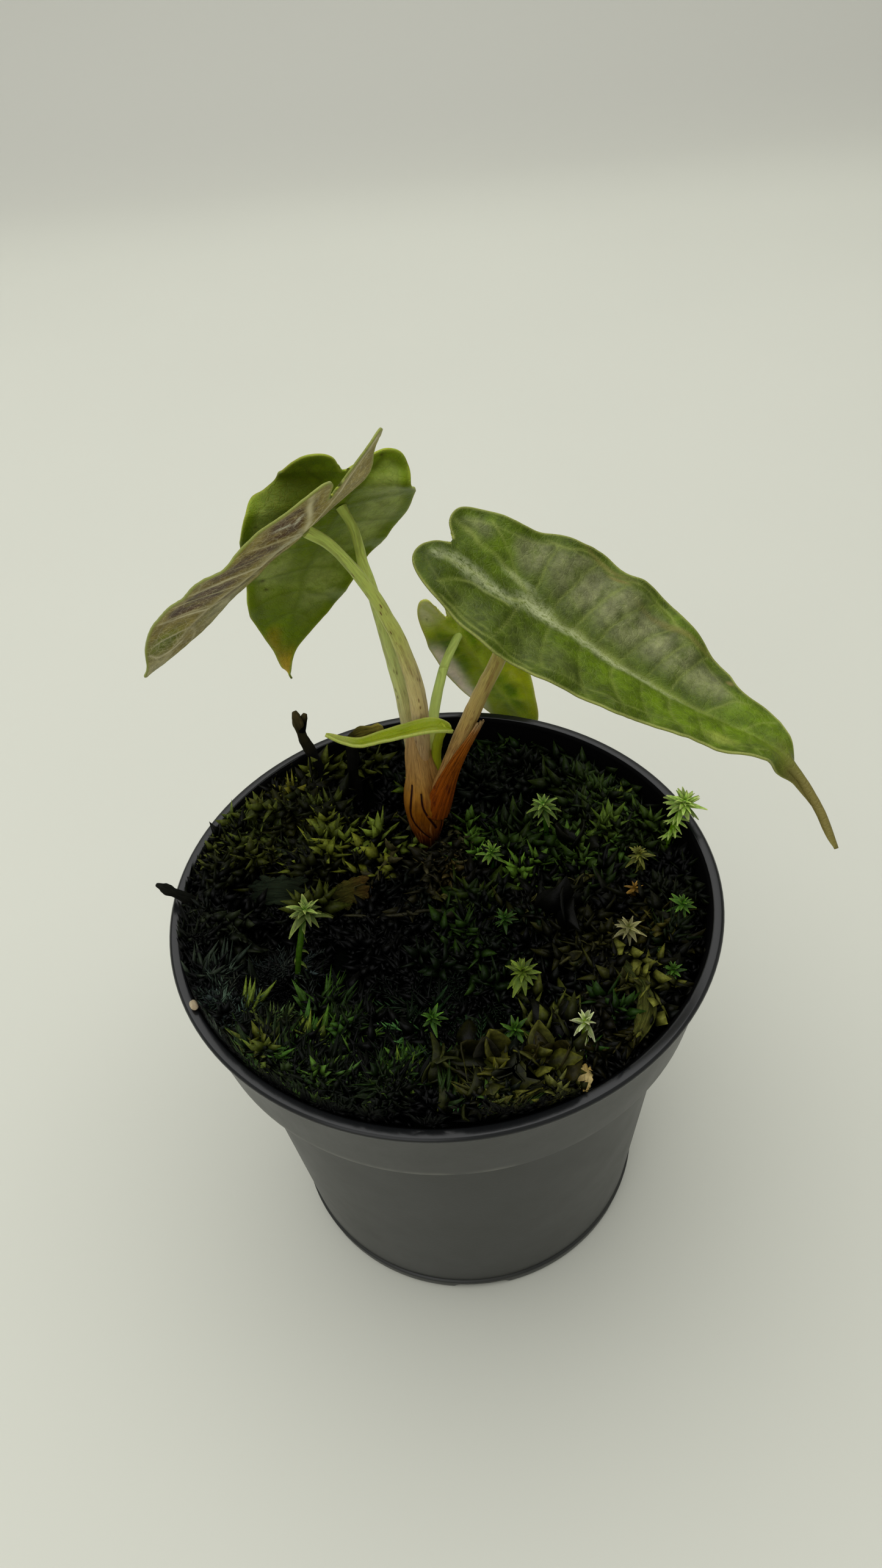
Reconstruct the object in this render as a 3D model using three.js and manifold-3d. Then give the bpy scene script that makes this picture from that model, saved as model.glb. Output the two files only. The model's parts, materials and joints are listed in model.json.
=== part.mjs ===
import * as THREE from 'three';
import { mergeVertices } from 'three/addons/utils/BufferGeometryUtils.js';
import Module from 'manifold-3d';

// A young arrow-leaved aroid in a small black nursery pot filled with moss.
// Millimetres, +Z up. The origin is the middle of the pot's foot, on the surface that it stands on.

// Pot
const RIM_RADIUS = 45;
const POT_HEIGHT = 76;
const LIP_WIDTH = 2.2;
const COLLAR_TOP_RADIUS = 44.3;
const COLLAR_FOOT_RADIUS = 42;
const COLLAR_FOOT_Z = 60.5;
const WALL_TOP_RADIUS = 38.8;
const FOOT_RADIUS = 32.6;
const FOOT_RING_HEIGHT = 3;
const FOOT_RING_PROUD = 0.4;
const FOOT_RING_INNER_RADIUS = 30.4;
const WALL = 1.1;
const INNER_STEP_FOOT_Z = COLLAR_FOOT_Z - 0.2;
const INNER_STEP_TOP_Z = COLLAR_FOOT_Z + 1;
const FLOOR_Z = 3.4;
const FLOOR_UNDERSIDE_Z = 2.2;
const PAD_RADIUS = 10;
const POT_SIDES = 40;
const DRAIN_HOLES = 6;
const DRAIN_HOLE_RADIUS = 3;
const DRAIN_CIRCLE_RADIUS = 21;
const FOOT_GAPS = 6;
const FOOT_GAP_WIDTH = 13;
const FOOT_GAP_HEIGHT = 1.8;

// Clearance between pieces that touch
const GAP = 0.3;

// Moss bed
const MOSS_MIDDLE_Z = 71.4;
const MOSS_SLOPE = -0.05;
const MOSS_RINGS = 10;
const TUSSOCK_COUNT = 46;
const TUSSOCK_HEIGHT = 1.5;
const STRAND_COUNT = 26;
const TUFT_COUNT = 18;
const HOLLOW = { x: -11, y: 27, radius: 5.5, depth: 5 };

// Plant
const BLADE_THICKNESS = 0.6;
const SHEATH_THICKNESS = 0.6;
const CLUMP_TOP_Z = 84;
const CORM = { x: -2.6, y: 16.4 };
const ROOT_COUNT = 5;
const BLADE_ROWS = 22;
const BLADE_HALF_COLUMNS = 3;

const wasm = await Module();
wasm.setup();

// Draws numbers between 0 and 1 in a fixed order for a given seed.
function seededRandom(seed) {
  let state = seed >>> 0;
  return () => {
    state = (state + 0x6d2b79f5) >>> 0;
    let value = state;
    value = Math.imul(value ^ (value >>> 15), value | 1);
    value ^= value + Math.imul(value ^ (value >>> 7), value | 61);
    return ((value ^ (value >>> 14)) >>> 0) / 4294967296;
  };
}

const vector = ([x, y, z]) => new THREE.Vector3(x, y, z);
const lerp = THREE.MathUtils.lerp;
const clamp = THREE.MathUtils.clamp;

// A smooth curve through a few points.
function curveThrough(points) {
  return new THREE.CatmullRomCurve3(points.map(vector), false, 'catmullrom', 0.5);
}

// A closed three.js geometry as a solid for joins and cuts.
function solid(geometry) {
  const plain = geometry.index ? geometry.clone() : geometry;
  plain.deleteAttribute('normal');
  plain.deleteAttribute('uv');
  const merged = mergeVertices(plain);
  return new wasm.Manifold(new wasm.Mesh({
    numProp: 3,
    vertProperties: new Float32Array(merged.attributes.position.array),
    triVerts: new Uint32Array(merged.index.array),
  }));
}

// A solid back as a three.js geometry.
function geometryOf(body) {
  const mesh = body.getMesh();
  const geometry = new THREE.BufferGeometry();
  geometry.setAttribute('position', new THREE.BufferAttribute(new Float32Array(mesh.vertProperties), 3));
  geometry.setIndex(new THREE.BufferAttribute(new Uint32Array(mesh.triVerts), 1));
  geometry.computeVertexNormals();
  return geometry;
}

function join(bodies) {
  return bodies.reduce((whole, body) => whole.add(body));
}

// A closed ring or disc turned about the Z axis from (radius, height) pairs.
function turned(profile, sides) {
  const points = profile.map(([radius, z]) => new THREE.Vector2(radius, z));
  return new THREE.LatheGeometry(points, sides).rotateX(Math.PI / 2);
}

// Bends a closed shape that stands along Y from -0.5 to 0.5 along a curve. The shape's X becomes the
// side and its Z the thickness, each scaled by a size that may change along the curve. Both ends may reach
// a little beyond the curve.
function bent(geometry, curve, widthAt, thicknessAt = widthAt, up = new THREE.Vector3(0, 0, 1), beyond = 0) {
  const position = geometry.attributes.position;
  const side = new THREE.Vector3();
  const rise = new THREE.Vector3();
  for (let index = 0; index < position.count; index += 1) {
    const along = clamp(position.getY(index) + 0.5, 0, 1);
    const tangent = curve.getTangent(along);
    side.crossVectors(tangent, up).normalize();
    rise.crossVectors(side, tangent);
    const point = curve.getPoint(along);
    if (along === 0 || along === 1) point.addScaledVector(tangent, (2 * along - 1) * beyond);
    point.addScaledVector(side, position.getX(index) * widthAt(along));
    point.addScaledVector(rise, position.getZ(index) * thicknessAt(along));
    position.setXYZ(index, point.x, point.y, point.z);
  }
  return geometry;
}

// A round stalk along a curve. The grown one, larger all round, makes the room that a neighbour leaves for it.
function stalk(points, radiusAt, sides, steps, grow = 0) {
  const diameterAt = (along) => 2 * (radiusAt(along) + grow);
  const upright = new THREE.CylinderGeometry(0.5, 0.5, 1, sides, steps);
  return bent(upright, curveThrough(points), diameterAt, diameterAt, new THREE.Vector3(0.3, 1, 0.1), grow);
}

// A radius that goes evenly from start to end.
function evenly(start, end) {
  return (along) => lerp(start, end, along);
}

// A closed sheet from a grid: place(row, column, face) gives a point, with face +1 on top and -1 below.
// Both faces are split into triangles alike.
function sheet(rows, columns, place) {
  const points = [];
  for (const face of [1, -1]) {
    for (let row = 0; row <= rows; row += 1) {
      for (let column = 0; column <= columns; column += 1) {
        points.push(...place(row, column, face).toArray());
      }
    }
  }
  const width = columns + 1;
  const below = (rows + 1) * width;
  const index = [];
  const quad = (a, b, c, d) => index.push(a, b, c, a, c, d);
  for (let row = 0; row < rows; row += 1) {
    for (let column = 0; column < columns; column += 1) {
      const corner = row * width + column;
      quad(corner, corner + 1, corner + width + 1, corner + width);
      index.push(below + corner, below + corner + width + 1, below + corner + 1);
      index.push(below + corner, below + corner + width, below + corner + width + 1);
    }
  }
  for (let row = 0; row < rows; row += 1) {
    const left = row * width;
    const right = left + columns;
    quad(left, left + width, below + left + width, below + left);
    quad(right, below + right, below + right + width, right + width);
  }
  for (let column = 0; column < columns; column += 1) {
    const last = rows * width + column;
    quad(column, below + column, below + column + 1, column + 1);
    quad(last, last + 1, below + last + 1, below + last);
  }
  const geometry = new THREE.BufferGeometry();
  geometry.setAttribute('position', new THREE.BufferAttribute(new Float32Array(points), 3));
  geometry.setIndex(index);
  return geometry;
}

// Leaf blades

// Each leaf: the midrib's points from the notch behind the stalk to the tip, with the stalk's junction second,
// the turn about the midrib, the fold of its halves, and each half's outline as (along, across) from the notch
// round the rear lobe to the tip. Along is measured on the midrib from the junction, and left and right are
// seen from above with the tip ahead.
const leaves = {
  left: {
    midrib: [
      [-9.4, 12.3, 143.0], [-14.2, 16.5, 135.3], [-19.3, 19.5, 130.3], [-24.5, 22.1, 124.9], [-29.5, 24.1, 120.5],
      [-34.3, 25.8, 116.0], [-38.6, 27.0, 111.1], [-42.5, 28.0, 106.5], [-45.7, 28.5, 103.5],
    ],
    roll: 5.6,
    rollPerMm: 0.7,
    fold: 0.13,
    wave: 0.2,
    leftHalf: [
      [-9, 0.4], [-14, 2.2], [-16.5, 5], [-15.4, 7.6], [-11, 10], [-4.6, 12], [3.7, 13.5], [11.7, 13.1],
      [19.6, 11.4], [28, 9], [35, 6.6], [41, 3.4], [45, 1], [46.6, 0.3],
    ],
    rightHalf: [
      [-9, 0.4], [-15.4, 2.2], [-18.6, 4.6], [-17.6, 7.2], [-11.7, 9.4], [-4.6, 11.2], [3.7, 12.6], [11.7, 12.4],
      [19.6, 11.2], [28, 10], [35, 7.6], [41, 3], [45, 0.8], [46.6, 0.3],
    ],
  },
  back: {
    midrib: [
      [-8.8, 30.7, 136.0], [-10.0, 33.2, 128.9], [-15.2, 37.6, 119.2], [-18.2, 39.6, 113.2], [-20.1, 41.4, 107.4],
      [-22.0, 42.8, 102.4], [-24.1, 44.6, 94.8], [-24.8, 45.7, 89.1], [-24.6, 46.2, 86.9],
    ],
    roll: 22,
    rollPerMm: 0.43,
    fold: 0.05,
    wave: 0.15,
    leftHalf: [
      [-7.9, 0.4], [-10.2, 1.7], [-10.9, 3.8], [-10.2, 6.2], [-6.6, 9], [-3.2, 11.9], [-0.6, 14.5], [3, 15.1],
      [7.5, 14.4], [15, 11.4], [22.6, 9.2], [28, 8], [33, 5.8], [39.7, 2.8], [45, 1.2], [47.4, 0.3],
    ],
    rightHalf: [
      [-7.9, 0.4], [-9.6, 2.4], [-11.1, 6], [-9.8, 8.8], [-4.7, 11.1], [2.2, 13.7], [6.4, 14.4], [11, 13.4],
      [17.5, 11.4], [24, 8.7], [31, 6.7], [36, 3.8], [41, 1.4], [47.4, 0.3],
    ],
  },
  right: {
    midrib: [
      [5.9, 15.6, 132.0], [15.9, 10.3, 124.2], [22.8, 6.4, 119.8], [30.7, 1.3, 115.5], [38.4, -4.0, 112.9],
      [45.7, -9.7, 111.5], [49.1, -12.9, 110.0], [52.1, -17.6, 106.1], [53.6, -22.2, 102.2],
    ],
    roll: 11.9,
    rollPerMm: -0.515,
    fold: 0.22,
    wave: 0.45,
    rightHalf: [
      [-13.7, 0.5], [-16, 2.4], [-16.3, 6], [-13.4, 8.6], [-9.5, 10.1], [-4.9, 11.4], [0, 12.3], [5, 12],
      [13.9, 11], [22.9, 9.2], [31.1, 7.6], [37.2, 6.2], [42, 3.8], [47.5, 2.2], [53, 1], [56.4, 0.3],
    ],
    leftHalf: [
      [-13.7, 0.5], [-15.6, 2.4], [-14.6, 5], [-10.4, 7.2], [-4.9, 9.4], [-1, 11.4], [4, 12.9], [9.4, 12.5],
      [15.2, 13.2], [22, 12], [27, 9.2], [33, 6.2], [38.5, 4.6], [43, 2.7], [48, 1.3], [53, 0.8], [56.4, 0.3],
    ],
  },
  small: {
    midrib: [
      [4.2, 40.0, 102.8], [6.8, 43.0, 95.2], [9.9, 44.8, 88.2], [12.5, 46.4, 81.5], [15.6, 47.6, 74.8],
      [18.4, 48.4, 68.6], [20.4, 48.8, 62.4],
    ],
    roll: -62,
    rollPerMm: 0,
    fold: 0.15,
    wave: 0.2,
    leftHalf: [
      [-6.5, 0.4], [-10.8, 0.6], [-13.4, 1], [-13.9, 2.2], [-11.9, 3.5], [-8, 4.5], [-2.2, 5.4], [3.4, 6.6],
      [8, 6.9], [14, 6.5], [20, 6.3], [25, 5.2], [30, 3], [34, 1.2], [36.2, 0.3],
    ],
    rightHalf: [
      [-6.5, 0.4], [-10, 1], [-12.5, 2.2], [-12.5, 4], [-9, 5.6], [-2, 7.2], [6, 8], [13, 7.8], [19, 6.6],
      [24, 5.2], [29.4, 3.4], [33, 1.4], [36.2, 0.3],
    ],
  },
  new: {
    midrib: [
      [3.9, 13.3, 99.2], [2.0, 12.8, 100.0], [-0.1, 12.6, 100.3], [-4.0, 12.5, 99.7], [-8.0, 12.5, 98.9],
      [-11.0, 12.8, 98.1], [-13.8, 13.3, 98.7], [-16.7, 14.0, 100.1],
    ],
    roll: 0,
    rollPerMm: 0,
    fold: 0.35,
    wave: 0,
    leftHalf: [[-2, 0.4], [-1.4, 1.2], [1.5, 1.7], [6, 1.8], [11, 1.6], [15, 1.1], [18, 0.6], [19, 0.3]],
    rightHalf: [[-2, 0.4], [-1.4, 1.2], [1.5, 1.7], [6, 1.8], [11, 1.6], [15, 1.1], [18, 0.6], [19, 0.3]],
  },
};

// The curved middle surface of a leaf: at(along, across) gives a point and the blade's own up direction.
function leafSurface({ midrib, roll, rollPerMm, fold, wave }) {
  const curve = curveThrough(midrib);
  const stepsPerPoint = 50;
  curve.arcLengthDivisions = stepsPerPoint * (midrib.length - 1);
  const total = curve.getLength();
  const junction = curve.getLengths()[stepsPerPoint];
  return (along, across) => {
    const share = clamp((along + junction) / total, 0, 1);
    const beyond = along + junction - share * total;
    const tangent = curve.getTangentAt(share);
    const level = new THREE.Vector3(0, 0, 1).cross(tangent).normalize();
    const over = new THREE.Vector3().crossVectors(tangent, level);
    const turn = THREE.MathUtils.degToRad(roll + rollPerMm * along);
    const side = level.clone().multiplyScalar(Math.cos(turn)).addScaledVector(over, Math.sin(turn));
    const up = over.clone().multiplyScalar(Math.cos(turn)).addScaledVector(level, -Math.sin(turn));
    const reach = Math.abs(across);
    const ripple = wave * Math.min(reach / 6, 1.6) * Math.sin(along * 0.62 + (across > 0 ? 0.8 : 2.6));
    const point = curve.getPointAt(share).addScaledVector(tangent, beyond);
    point.addScaledVector(side, across).addScaledVector(up, fold * reach + ripple);
    const lean = -fold * clamp(across, -1, 1);
    return { point, up: up.addScaledVector(side, lean).normalize() };
  };
}

// A half's outline as a smooth line, read by the share of its length from the notch to the tip.
function outlineOf(points) {
  const line = new THREE.SplineCurve(points.map(([along, across]) => new THREE.Vector2(along, across)));
  return (share) => line.getPointAt(share);
}

// A blade from below to above its middle surface, over both halves.
function bladeGeometry(leaf, rows, columnsPerHalf, below, above) {
  const surface = leafSurface(leaf);
  const outlines = [outlineOf(leaf.leftHalf), outlineOf(leaf.rightHalf)];
  const notch = leaf.leftHalf[0][0];
  const tip = leaf.leftHalf[leaf.leftHalf.length - 1][0];
  const place = (row, column, face) => {
    const share = row / rows;
    const offset = columnsPerHalf - column;
    const out = Math.abs(offset) / columnsPerHalf;
    const edge = outlines[offset >= 0 ? 0 : 1](share);
    const along = lerp(lerp(notch, tip, share), edge.x, out);
    const across = Math.sign(offset) * out * edge.y;
    const { point, up } = surface(along, across);
    return point.addScaledVector(up, face > 0 ? above : -below);
  };
  return sheet(rows, 2 * columnsPerHalf, place);
}

// Leaf stalks, from the socket in the stem base up to the blade, with the radius at the socket, where the
// stalk is widest and at the blade. The left leaf's stalk crosses in front of the back leaf's.
const stalks = {
  left: {
    points: [
      [-2.9, 16.2, 80.4], [-2.6, 16.3, 83.5], [-1.8, 16.4, 88.1], [-1.3, 16.4, 93.5], [-1.1, 16.5, 98.7],
      [-1.2, 16.6, 103.7], [-1.8, 16.7, 108.6], [-3.3, 16.8, 115.5], [-4.5, 16.8, 119.0], [-5.6, 16.8, 122.3],
      [-7.2, 16.8, 125.7], [-8.9, 16.8, 128.9], [-11.4, 16.7, 132.7], [-14.2, 16.5, 135.3],
    ],
    radii: [1.1, 1.45, 0.7],
  },
  back: {
    points: [
      [-3.2, 18.8, 80.4], [-3.3, 18.9, 83.5], [-3.1, 18.9, 86.6], [-3.1, 18.9, 92.1], [-3.3, 19.0, 97.4],
      [-3.6, 19.1, 102.6], [-4.2, 19.3, 107.1], [-5.2, 19.7, 114.3], [-5.7, 20.2, 117.3], [-6.2, 21.2, 120.0],
      [-6.7, 22.8, 121.9], [-7.4, 25.0, 123.5], [-7.8, 28.0, 124.5], [-8.5, 31.0, 126.2], [-10.0, 33.2, 128.9],
    ],
    radii: [1.05, 1.2, 0.7],
  },
  right: {
    points: [
      [-0.3, 14.1, 80.4], [-0.1, 14.1, 83.2], [1.1, 14.2, 86.3], [2.7, 14.2, 90.2], [4.3, 14.1, 94.2],
      [6.3, 14.0, 99.3], [8.4, 13.9, 104.5], [10.6, 13.6, 109.5], [12.3, 13.0, 114.2], [13.8, 12.2, 118.5],
      [15.9, 10.3, 124.2],
    ],
    radii: [1.15, 1.35, 1.05],
  },
  small: {
    points: [
      [-0.3, 20.0, 80.4], [-0.4, 20.2, 84.0], [-0.4, 20.8, 87.2], [0.4, 23.5, 89.7], [1.1, 26.5, 91.2],
      [1.8, 29.5, 92.0], [2.8, 33.0, 93.1], [3.8, 36.5, 93.6], [5.3, 39.8, 94.5], [6.8, 43.0, 95.2],
    ],
    radii: [0.85, 0.95, 0.75],
  },
  new: {
    points: [
      [0.7, 17.4, 80.4], [0.6, 17.5, 84.0], [0.9, 16.9, 90.7], [1.5, 15.1, 95.6], [2.0, 13.5, 98.4],
      [2.0, 12.8, 100.0],
    ],
    radii: [0.85, 0.85, 0.8],
  },
};
const STALK_WIDEST = 0.35;

const STALK_SIDES = 7;

function stalkGeometry({ points, radii: [socket, widest, blade] }, grow = 0) {
  const lower = evenly(socket, widest);
  const upper = evenly(widest, blade);
  const radiusAt = (along) => (
    along < STALK_WIDEST ? lower(along / STALK_WIDEST) : upper((along - STALK_WIDEST) / (1 - STALK_WIDEST))
  );
  return stalk(points, radiusAt, STALK_SIDES, points.length + 2, grow);
}

// The stalk ends just under its blade.
function stalkUnderBlade(name) {
  const aboveStalkEnd = 3.5;
  const below = BLADE_THICKNESS / 2 + GAP;
  const headroom = bladeGeometry(leaves[name], BLADE_ROWS, BLADE_HALF_COLUMNS, below, aboveStalkEnd);
  return solid(stalkGeometry(stalks[name])).subtract(solid(headroom));
}

// Stem base: the swollen clump above the moss, the corm below it and its roots
const clumpRings = [
  { z: 57.5, x: -2.6, y: 16.4, width: 1.6, depth: 1.6 },
  { z: 59, x: -2.6, y: 16.4, width: 3.4, depth: 3.4 },
  { z: 63, x: -2.6, y: 16.4, width: 4.6, depth: 4.6 },
  { z: 67, x: -2.7, y: 16.4, width: 4.1, depth: 4.1 },
  { z: 71, x: -2.7, y: 16.5, width: 2.9, depth: 3.0 },
  { z: 73.5, x: -2.7, y: 16.5, width: 3.1, depth: 3.2 },
  { z: 76.5, x: -2.4, y: 16.6, width: 3.8, depth: 4.1 },
  { z: 80, x: -1.8, y: 16.9, width: 4.3, depth: 4.8 },
  { z: CLUMP_TOP_Z, x: -1.4, y: 16.8, width: 4.1, depth: 4.8 },
];

function clumpGeometry(grow) {
  const levels = clumpRings.length - 1;
  const upright = new THREE.CylinderGeometry(1, 1, 1, 10, levels);
  const position = upright.attributes.position;
  for (let index = 0; index < position.count; index += 1) {
    const ring = clumpRings[Math.round((position.getY(index) + 0.5) * levels)];
    const lift = ring === clumpRings[0] ? -grow : 0;
    const x = ring.x + position.getX(index) * (ring.width + grow);
    const y = ring.y - position.getZ(index) * (ring.depth + grow);
    position.setXYZ(index, x, y, ring.z + lift + (ring === clumpRings[levels] ? grow : 0));
  }
  return upright;
}

function rootGeometry(number, grow) {
  const angle = (number / ROOT_COUNT) * 2 * Math.PI + 0.4;
  const reach = (distance, turn, z) => [
    CORM.x + distance * Math.cos(angle + turn),
    CORM.y + distance * Math.sin(angle + turn) * 0.8,
    z,
  ];
  const fall = 6 * (number % 2);
  const points = [
    reach(2, 0, 62), reach(6.5, 0.1, 58 - fall / 2), reach(11, 0.35, 49 - fall), reach(13, 0.7, 38 - fall),
  ];
  return stalk(points, evenly(0.9, 0.6), 4, 4, grow);
}

function stemBase() {
  const roots = Array.from({ length: ROOT_COUNT }, (_, number) => solid(rootGeometry(number, 0)));
  const sockets = Object.values(stalks).map((one) => solid(stalkGeometry(one, GAP)));
  return join([solid(clumpGeometry(0)), ...roots]).subtract(join(sockets));
}

function stemBaseRoom() {
  const roots = Array.from({ length: ROOT_COUNT }, (_, number) => solid(rootGeometry(number, 1.4 * GAP)));
  return join([solid(clumpGeometry(GAP)), ...roots]);
}

// Papery sheath round the lower part of the right stalk, open at the back and torn to a point
function sheathGeometry() {
  const curve = curveThrough([
    [0.6, 14.2, 85.1], [2.7, 14.2, 90.2], [4.3, 14.1, 94.2], [6.3, 14.0, 99.3], [6.9, 14.0, 100.8],
  ]);
  const rows = 8;
  const columns = 7;
  const inner = 1.35 + GAP;
  const place = (row, column, face) => {
    const share = row / rows;
    const tangent = curve.getTangentAt(share);
    const front = new THREE.Vector3(0, -1, 0).addScaledVector(tangent, tangent.y).normalize();
    const right = new THREE.Vector3().crossVectors(front, tangent).negate();
    const spread = lerp(105, 22, Math.pow(share, 1.6));
    const angle = THREE.MathUtils.degToRad(58 + lerp(-spread, spread, column / columns));
    const radius = inner + lerp(0, 0.35, share) + (face > 0 ? SHEATH_THICKNESS : 0);
    const point = curve.getPointAt(share);
    point.addScaledVector(front, radius * Math.cos(angle)).addScaledVector(right, radius * Math.sin(angle));
    return point;
  };
  return sheet(rows, columns, place);
}

// The pot's outer wall under the collar, and its collar inside
function wallRadius(z) {
  return lerp(FOOT_RADIUS, WALL_TOP_RADIUS, z / COLLAR_FOOT_Z);
}

function collarInnerRadius(z) {
  const share = (z - INNER_STEP_TOP_Z) / (POT_HEIGHT - INNER_STEP_TOP_Z);
  return lerp(COLLAR_FOOT_RADIUS - WALL, RIM_RADIUS - LIP_WIDTH, share);
}

// Moss bed
const random = seededRandom(2214);
const between = (low, high) => lerp(low, high, random());
const MOSS_EDGE_RADIUS = collarInnerRadius(MOSS_MIDDLE_Z - 4) - GAP;

const tussocks = [
  { x: -24, y: 22, radius: 6, height: 1.8 },
  { x: -15, y: 13, radius: 5, height: 1.2 },
  { x: -27, y: 9, radius: 6, height: 1.0 },
  { x: 24, y: -22, radius: 6, height: 1.4 },
  { x: 7, y: -36, radius: 5, height: 1.8 },
  { x: HOLLOW.x, y: HOLLOW.y, radius: HOLLOW.radius, height: -HOLLOW.depth },
];
for (let count = 0; count < TUSSOCK_COUNT; count += 1) {
  const angle = between(0, 2 * Math.PI);
  const distance = Math.sqrt(random()) * 38;
  tussocks.push({
    x: distance * Math.cos(angle),
    y: distance * Math.sin(angle),
    radius: between(2.6, 5),
    height: between(-TUSSOCK_HEIGHT, TUSSOCK_HEIGHT),
  });
}

function mossHeight(x, y) {
  let z = MOSS_MIDDLE_Z + MOSS_SLOPE * y;
  for (const tussock of tussocks) {
    const away = (x - tussock.x) ** 2 + (y - tussock.y) ** 2;
    z += tussock.height * Math.exp(-away / tussock.radius ** 2);
  }
  const edge = clamp((Math.hypot(x, y) - 36) / (MOSS_EDGE_RADIUS - 36), 0, 1);
  return z - 1.4 * edge * edge;
}

function mossPlug() {
  const topMark = 100;
  const profile = [
    [0, FLOOR_Z + GAP],
    [wallRadius(FLOOR_Z) - WALL - GAP, FLOOR_Z + GAP],
    [WALL_TOP_RADIUS - WALL - GAP, INNER_STEP_FOOT_Z + GAP],
    [COLLAR_FOOT_RADIUS - WALL - GAP, INNER_STEP_TOP_Z + GAP],
  ];
  for (let ring = MOSS_RINGS; ring >= 0; ring -= 1) {
    profile.push([MOSS_EDGE_RADIUS * (ring / MOSS_RINGS), topMark]);
  }
  const plug = turned(profile, POT_SIDES);
  const position = plug.attributes.position;
  for (let index = 0; index < position.count; index += 1) {
    if (position.getZ(index) > topMark - 1) {
      position.setZ(index, mossHeight(position.getX(index), position.getY(index)));
    }
  }
  return solid(plug);
}

// Live shoots: where each star stands, where its stem is rooted, its reach and the leaves in each of its rings
const shoots = [
  { head: [-21.5, -8.2, 84], foot: [-25, -14, 68], reach: 4.6, leaves: 5, color: 0x86a83c },
  { head: [18.4, 15.4, 78.4], foot: [18.9, 12.5, 67], reach: 4.2, leaves: 5, color: 0x9cc267 },
  { head: [8.6, 8.2, 75.6], foot: [8.6, 6.5, 67], reach: 3.6, leaves: 4, color: 0x6fae4a },
  { head: [41.6, 10.6, 80.6], foot: [38, 8.8, 68], reach: 4.4, leaves: 6, color: 0xc3d97a },
  { head: [18.4, -31, 81], foot: [17.9, -33.8, 69], reach: 3.9, leaves: 5, color: 0xe2e6b4 },
  { head: [10.8, -18.6, 77.4], foot: [10.6, -20, 68], reach: 4.4, leaves: 5, color: 0x97a848 },
  { head: [28, -13, 78.4], foot: [27.6, -13.4, 68], reach: 4.0, leaves: 5, color: 0xd5d69a },
  { head: [37.4, -8.6, 77.6], foot: [36.6, -8.4, 68], reach: 3.4, leaves: 4, color: 0x5f9a52 },
  { head: [31, -2.6, 75.6], foot: [30.6, -2.4, 67], reach: 2.4, leaves: 4, color: 0xcaa94a },
  { head: [32.8, 3.6, 76.6], foot: [33.4, 3.0, 67], reach: 3.0, leaves: 4, color: 0x9ea05a },
  { head: [8.5, -28.4, 76.8], foot: [8.6, -28.6, 68], reach: 3.6, leaves: 4, color: 0x4f8a3e },
  { head: [-3.4, -24.8, 76.8], foot: [-3.2, -25, 68], reach: 3.4, leaves: 4, color: 0x7d9c3a },
  { head: [9.3, -6.6, 75.8], foot: [9.4, -6.8, 67], reach: 3.2, leaves: 4, color: 0x5d9150 },
  { head: [33.4, -20.6, 77], foot: [33.0, -20.8, 68], reach: 3.0, leaves: 4, color: 0x66a35a },
];
const SHOOT_STEM_RADIUS = 0.55;
const SHOOT_BUD_RADIUS = 0.8;

function shootStem({ head, foot }, grow = 0) {
  const middle = [lerp(foot[0], head[0], 0.45), lerp(foot[1], head[1], 0.45), lerp(foot[2], head[2], 0.55)];
  return stalk([foot, middle, head], () => SHOOT_STEM_RADIUS, 5, 3, grow);
}

// A star of pointed leaves: a small round bud, every second point of its rings drawn out.
function starGeometry({ head, reach, leaves }) {
  const perRing = 2 * leaves;
  const bud = new THREE.SphereGeometry(1, perRing, 4).rotateX(Math.PI / 2);
  const position = bud.attributes.position;
  const lengths = Array.from({ length: perRing * 5 }, () => between(0.72, 1.08));
  for (let index = 0; index < position.count; index += 1) {
    const ring = Math.floor(index / (perRing + 1));
    const column = (index % (perRing + 1)) % perRing;
    const outward = new THREE.Vector3().fromBufferAttribute(position, index);
    const spike = ring > 0 && ring < 4 && (ring + column) % 2 === 0;
    const length = spike ? reach * lengths[ring * perRing + column] : SHOOT_BUD_RADIUS;
    if (spike) outward.z = [0, 0.75, 0.22, -0.3][ring];
    const point = outward.setLength(length).add(vector(head));
    position.setXYZ(index, point.x, point.y, point.z);
  }
  return bud;
}

function shootSolid(shoot) {
  return solid(shootStem(shoot)).add(solid(starGeometry(shoot)));
}

// Loose bits that lie in or on the moss, each with the room that the moss leaves for it
function twigOverRim(grow) {
  const points = [[-37, 1.4, 73.6], [-41.2, 1.9, 77.0], [-44.6, 3.2, 78.3], [-47.2, 5.2, 78.0]];
  return solid(stalk(points, evenly(0.8, 1.1), 6, 5, grow));
}

function forkedStalk(grow) {
  const trunk = [[-18.4, 29.5, 68], [-20.6, 32.8, 75.5], [-23.0, 36.4, 79.2], [-24.2, 38.6, 84.6]];
  const fork = [[-22.4, 35.6, 78.2], [-22.5, 37.6, 81.2], [-22.0, 38.4, 83.4]];
  const upright = solid(stalk(trunk, evenly(1.1, 0.8), 6, 5, grow));
  return upright.add(solid(stalk(fork, evenly(0.7, 0.4), 5, 3, grow)));
}

function dryStalk(grow) {
  const points = [[-15.2, 31.5, 68], [-14.6, 34, 74], [-13.0, 36.5, 78.6], [-8.2, 37.0, 79.2]];
  return solid(stalk(points, evenly(1.3, 0.8), 6, 7, grow));
}

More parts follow.
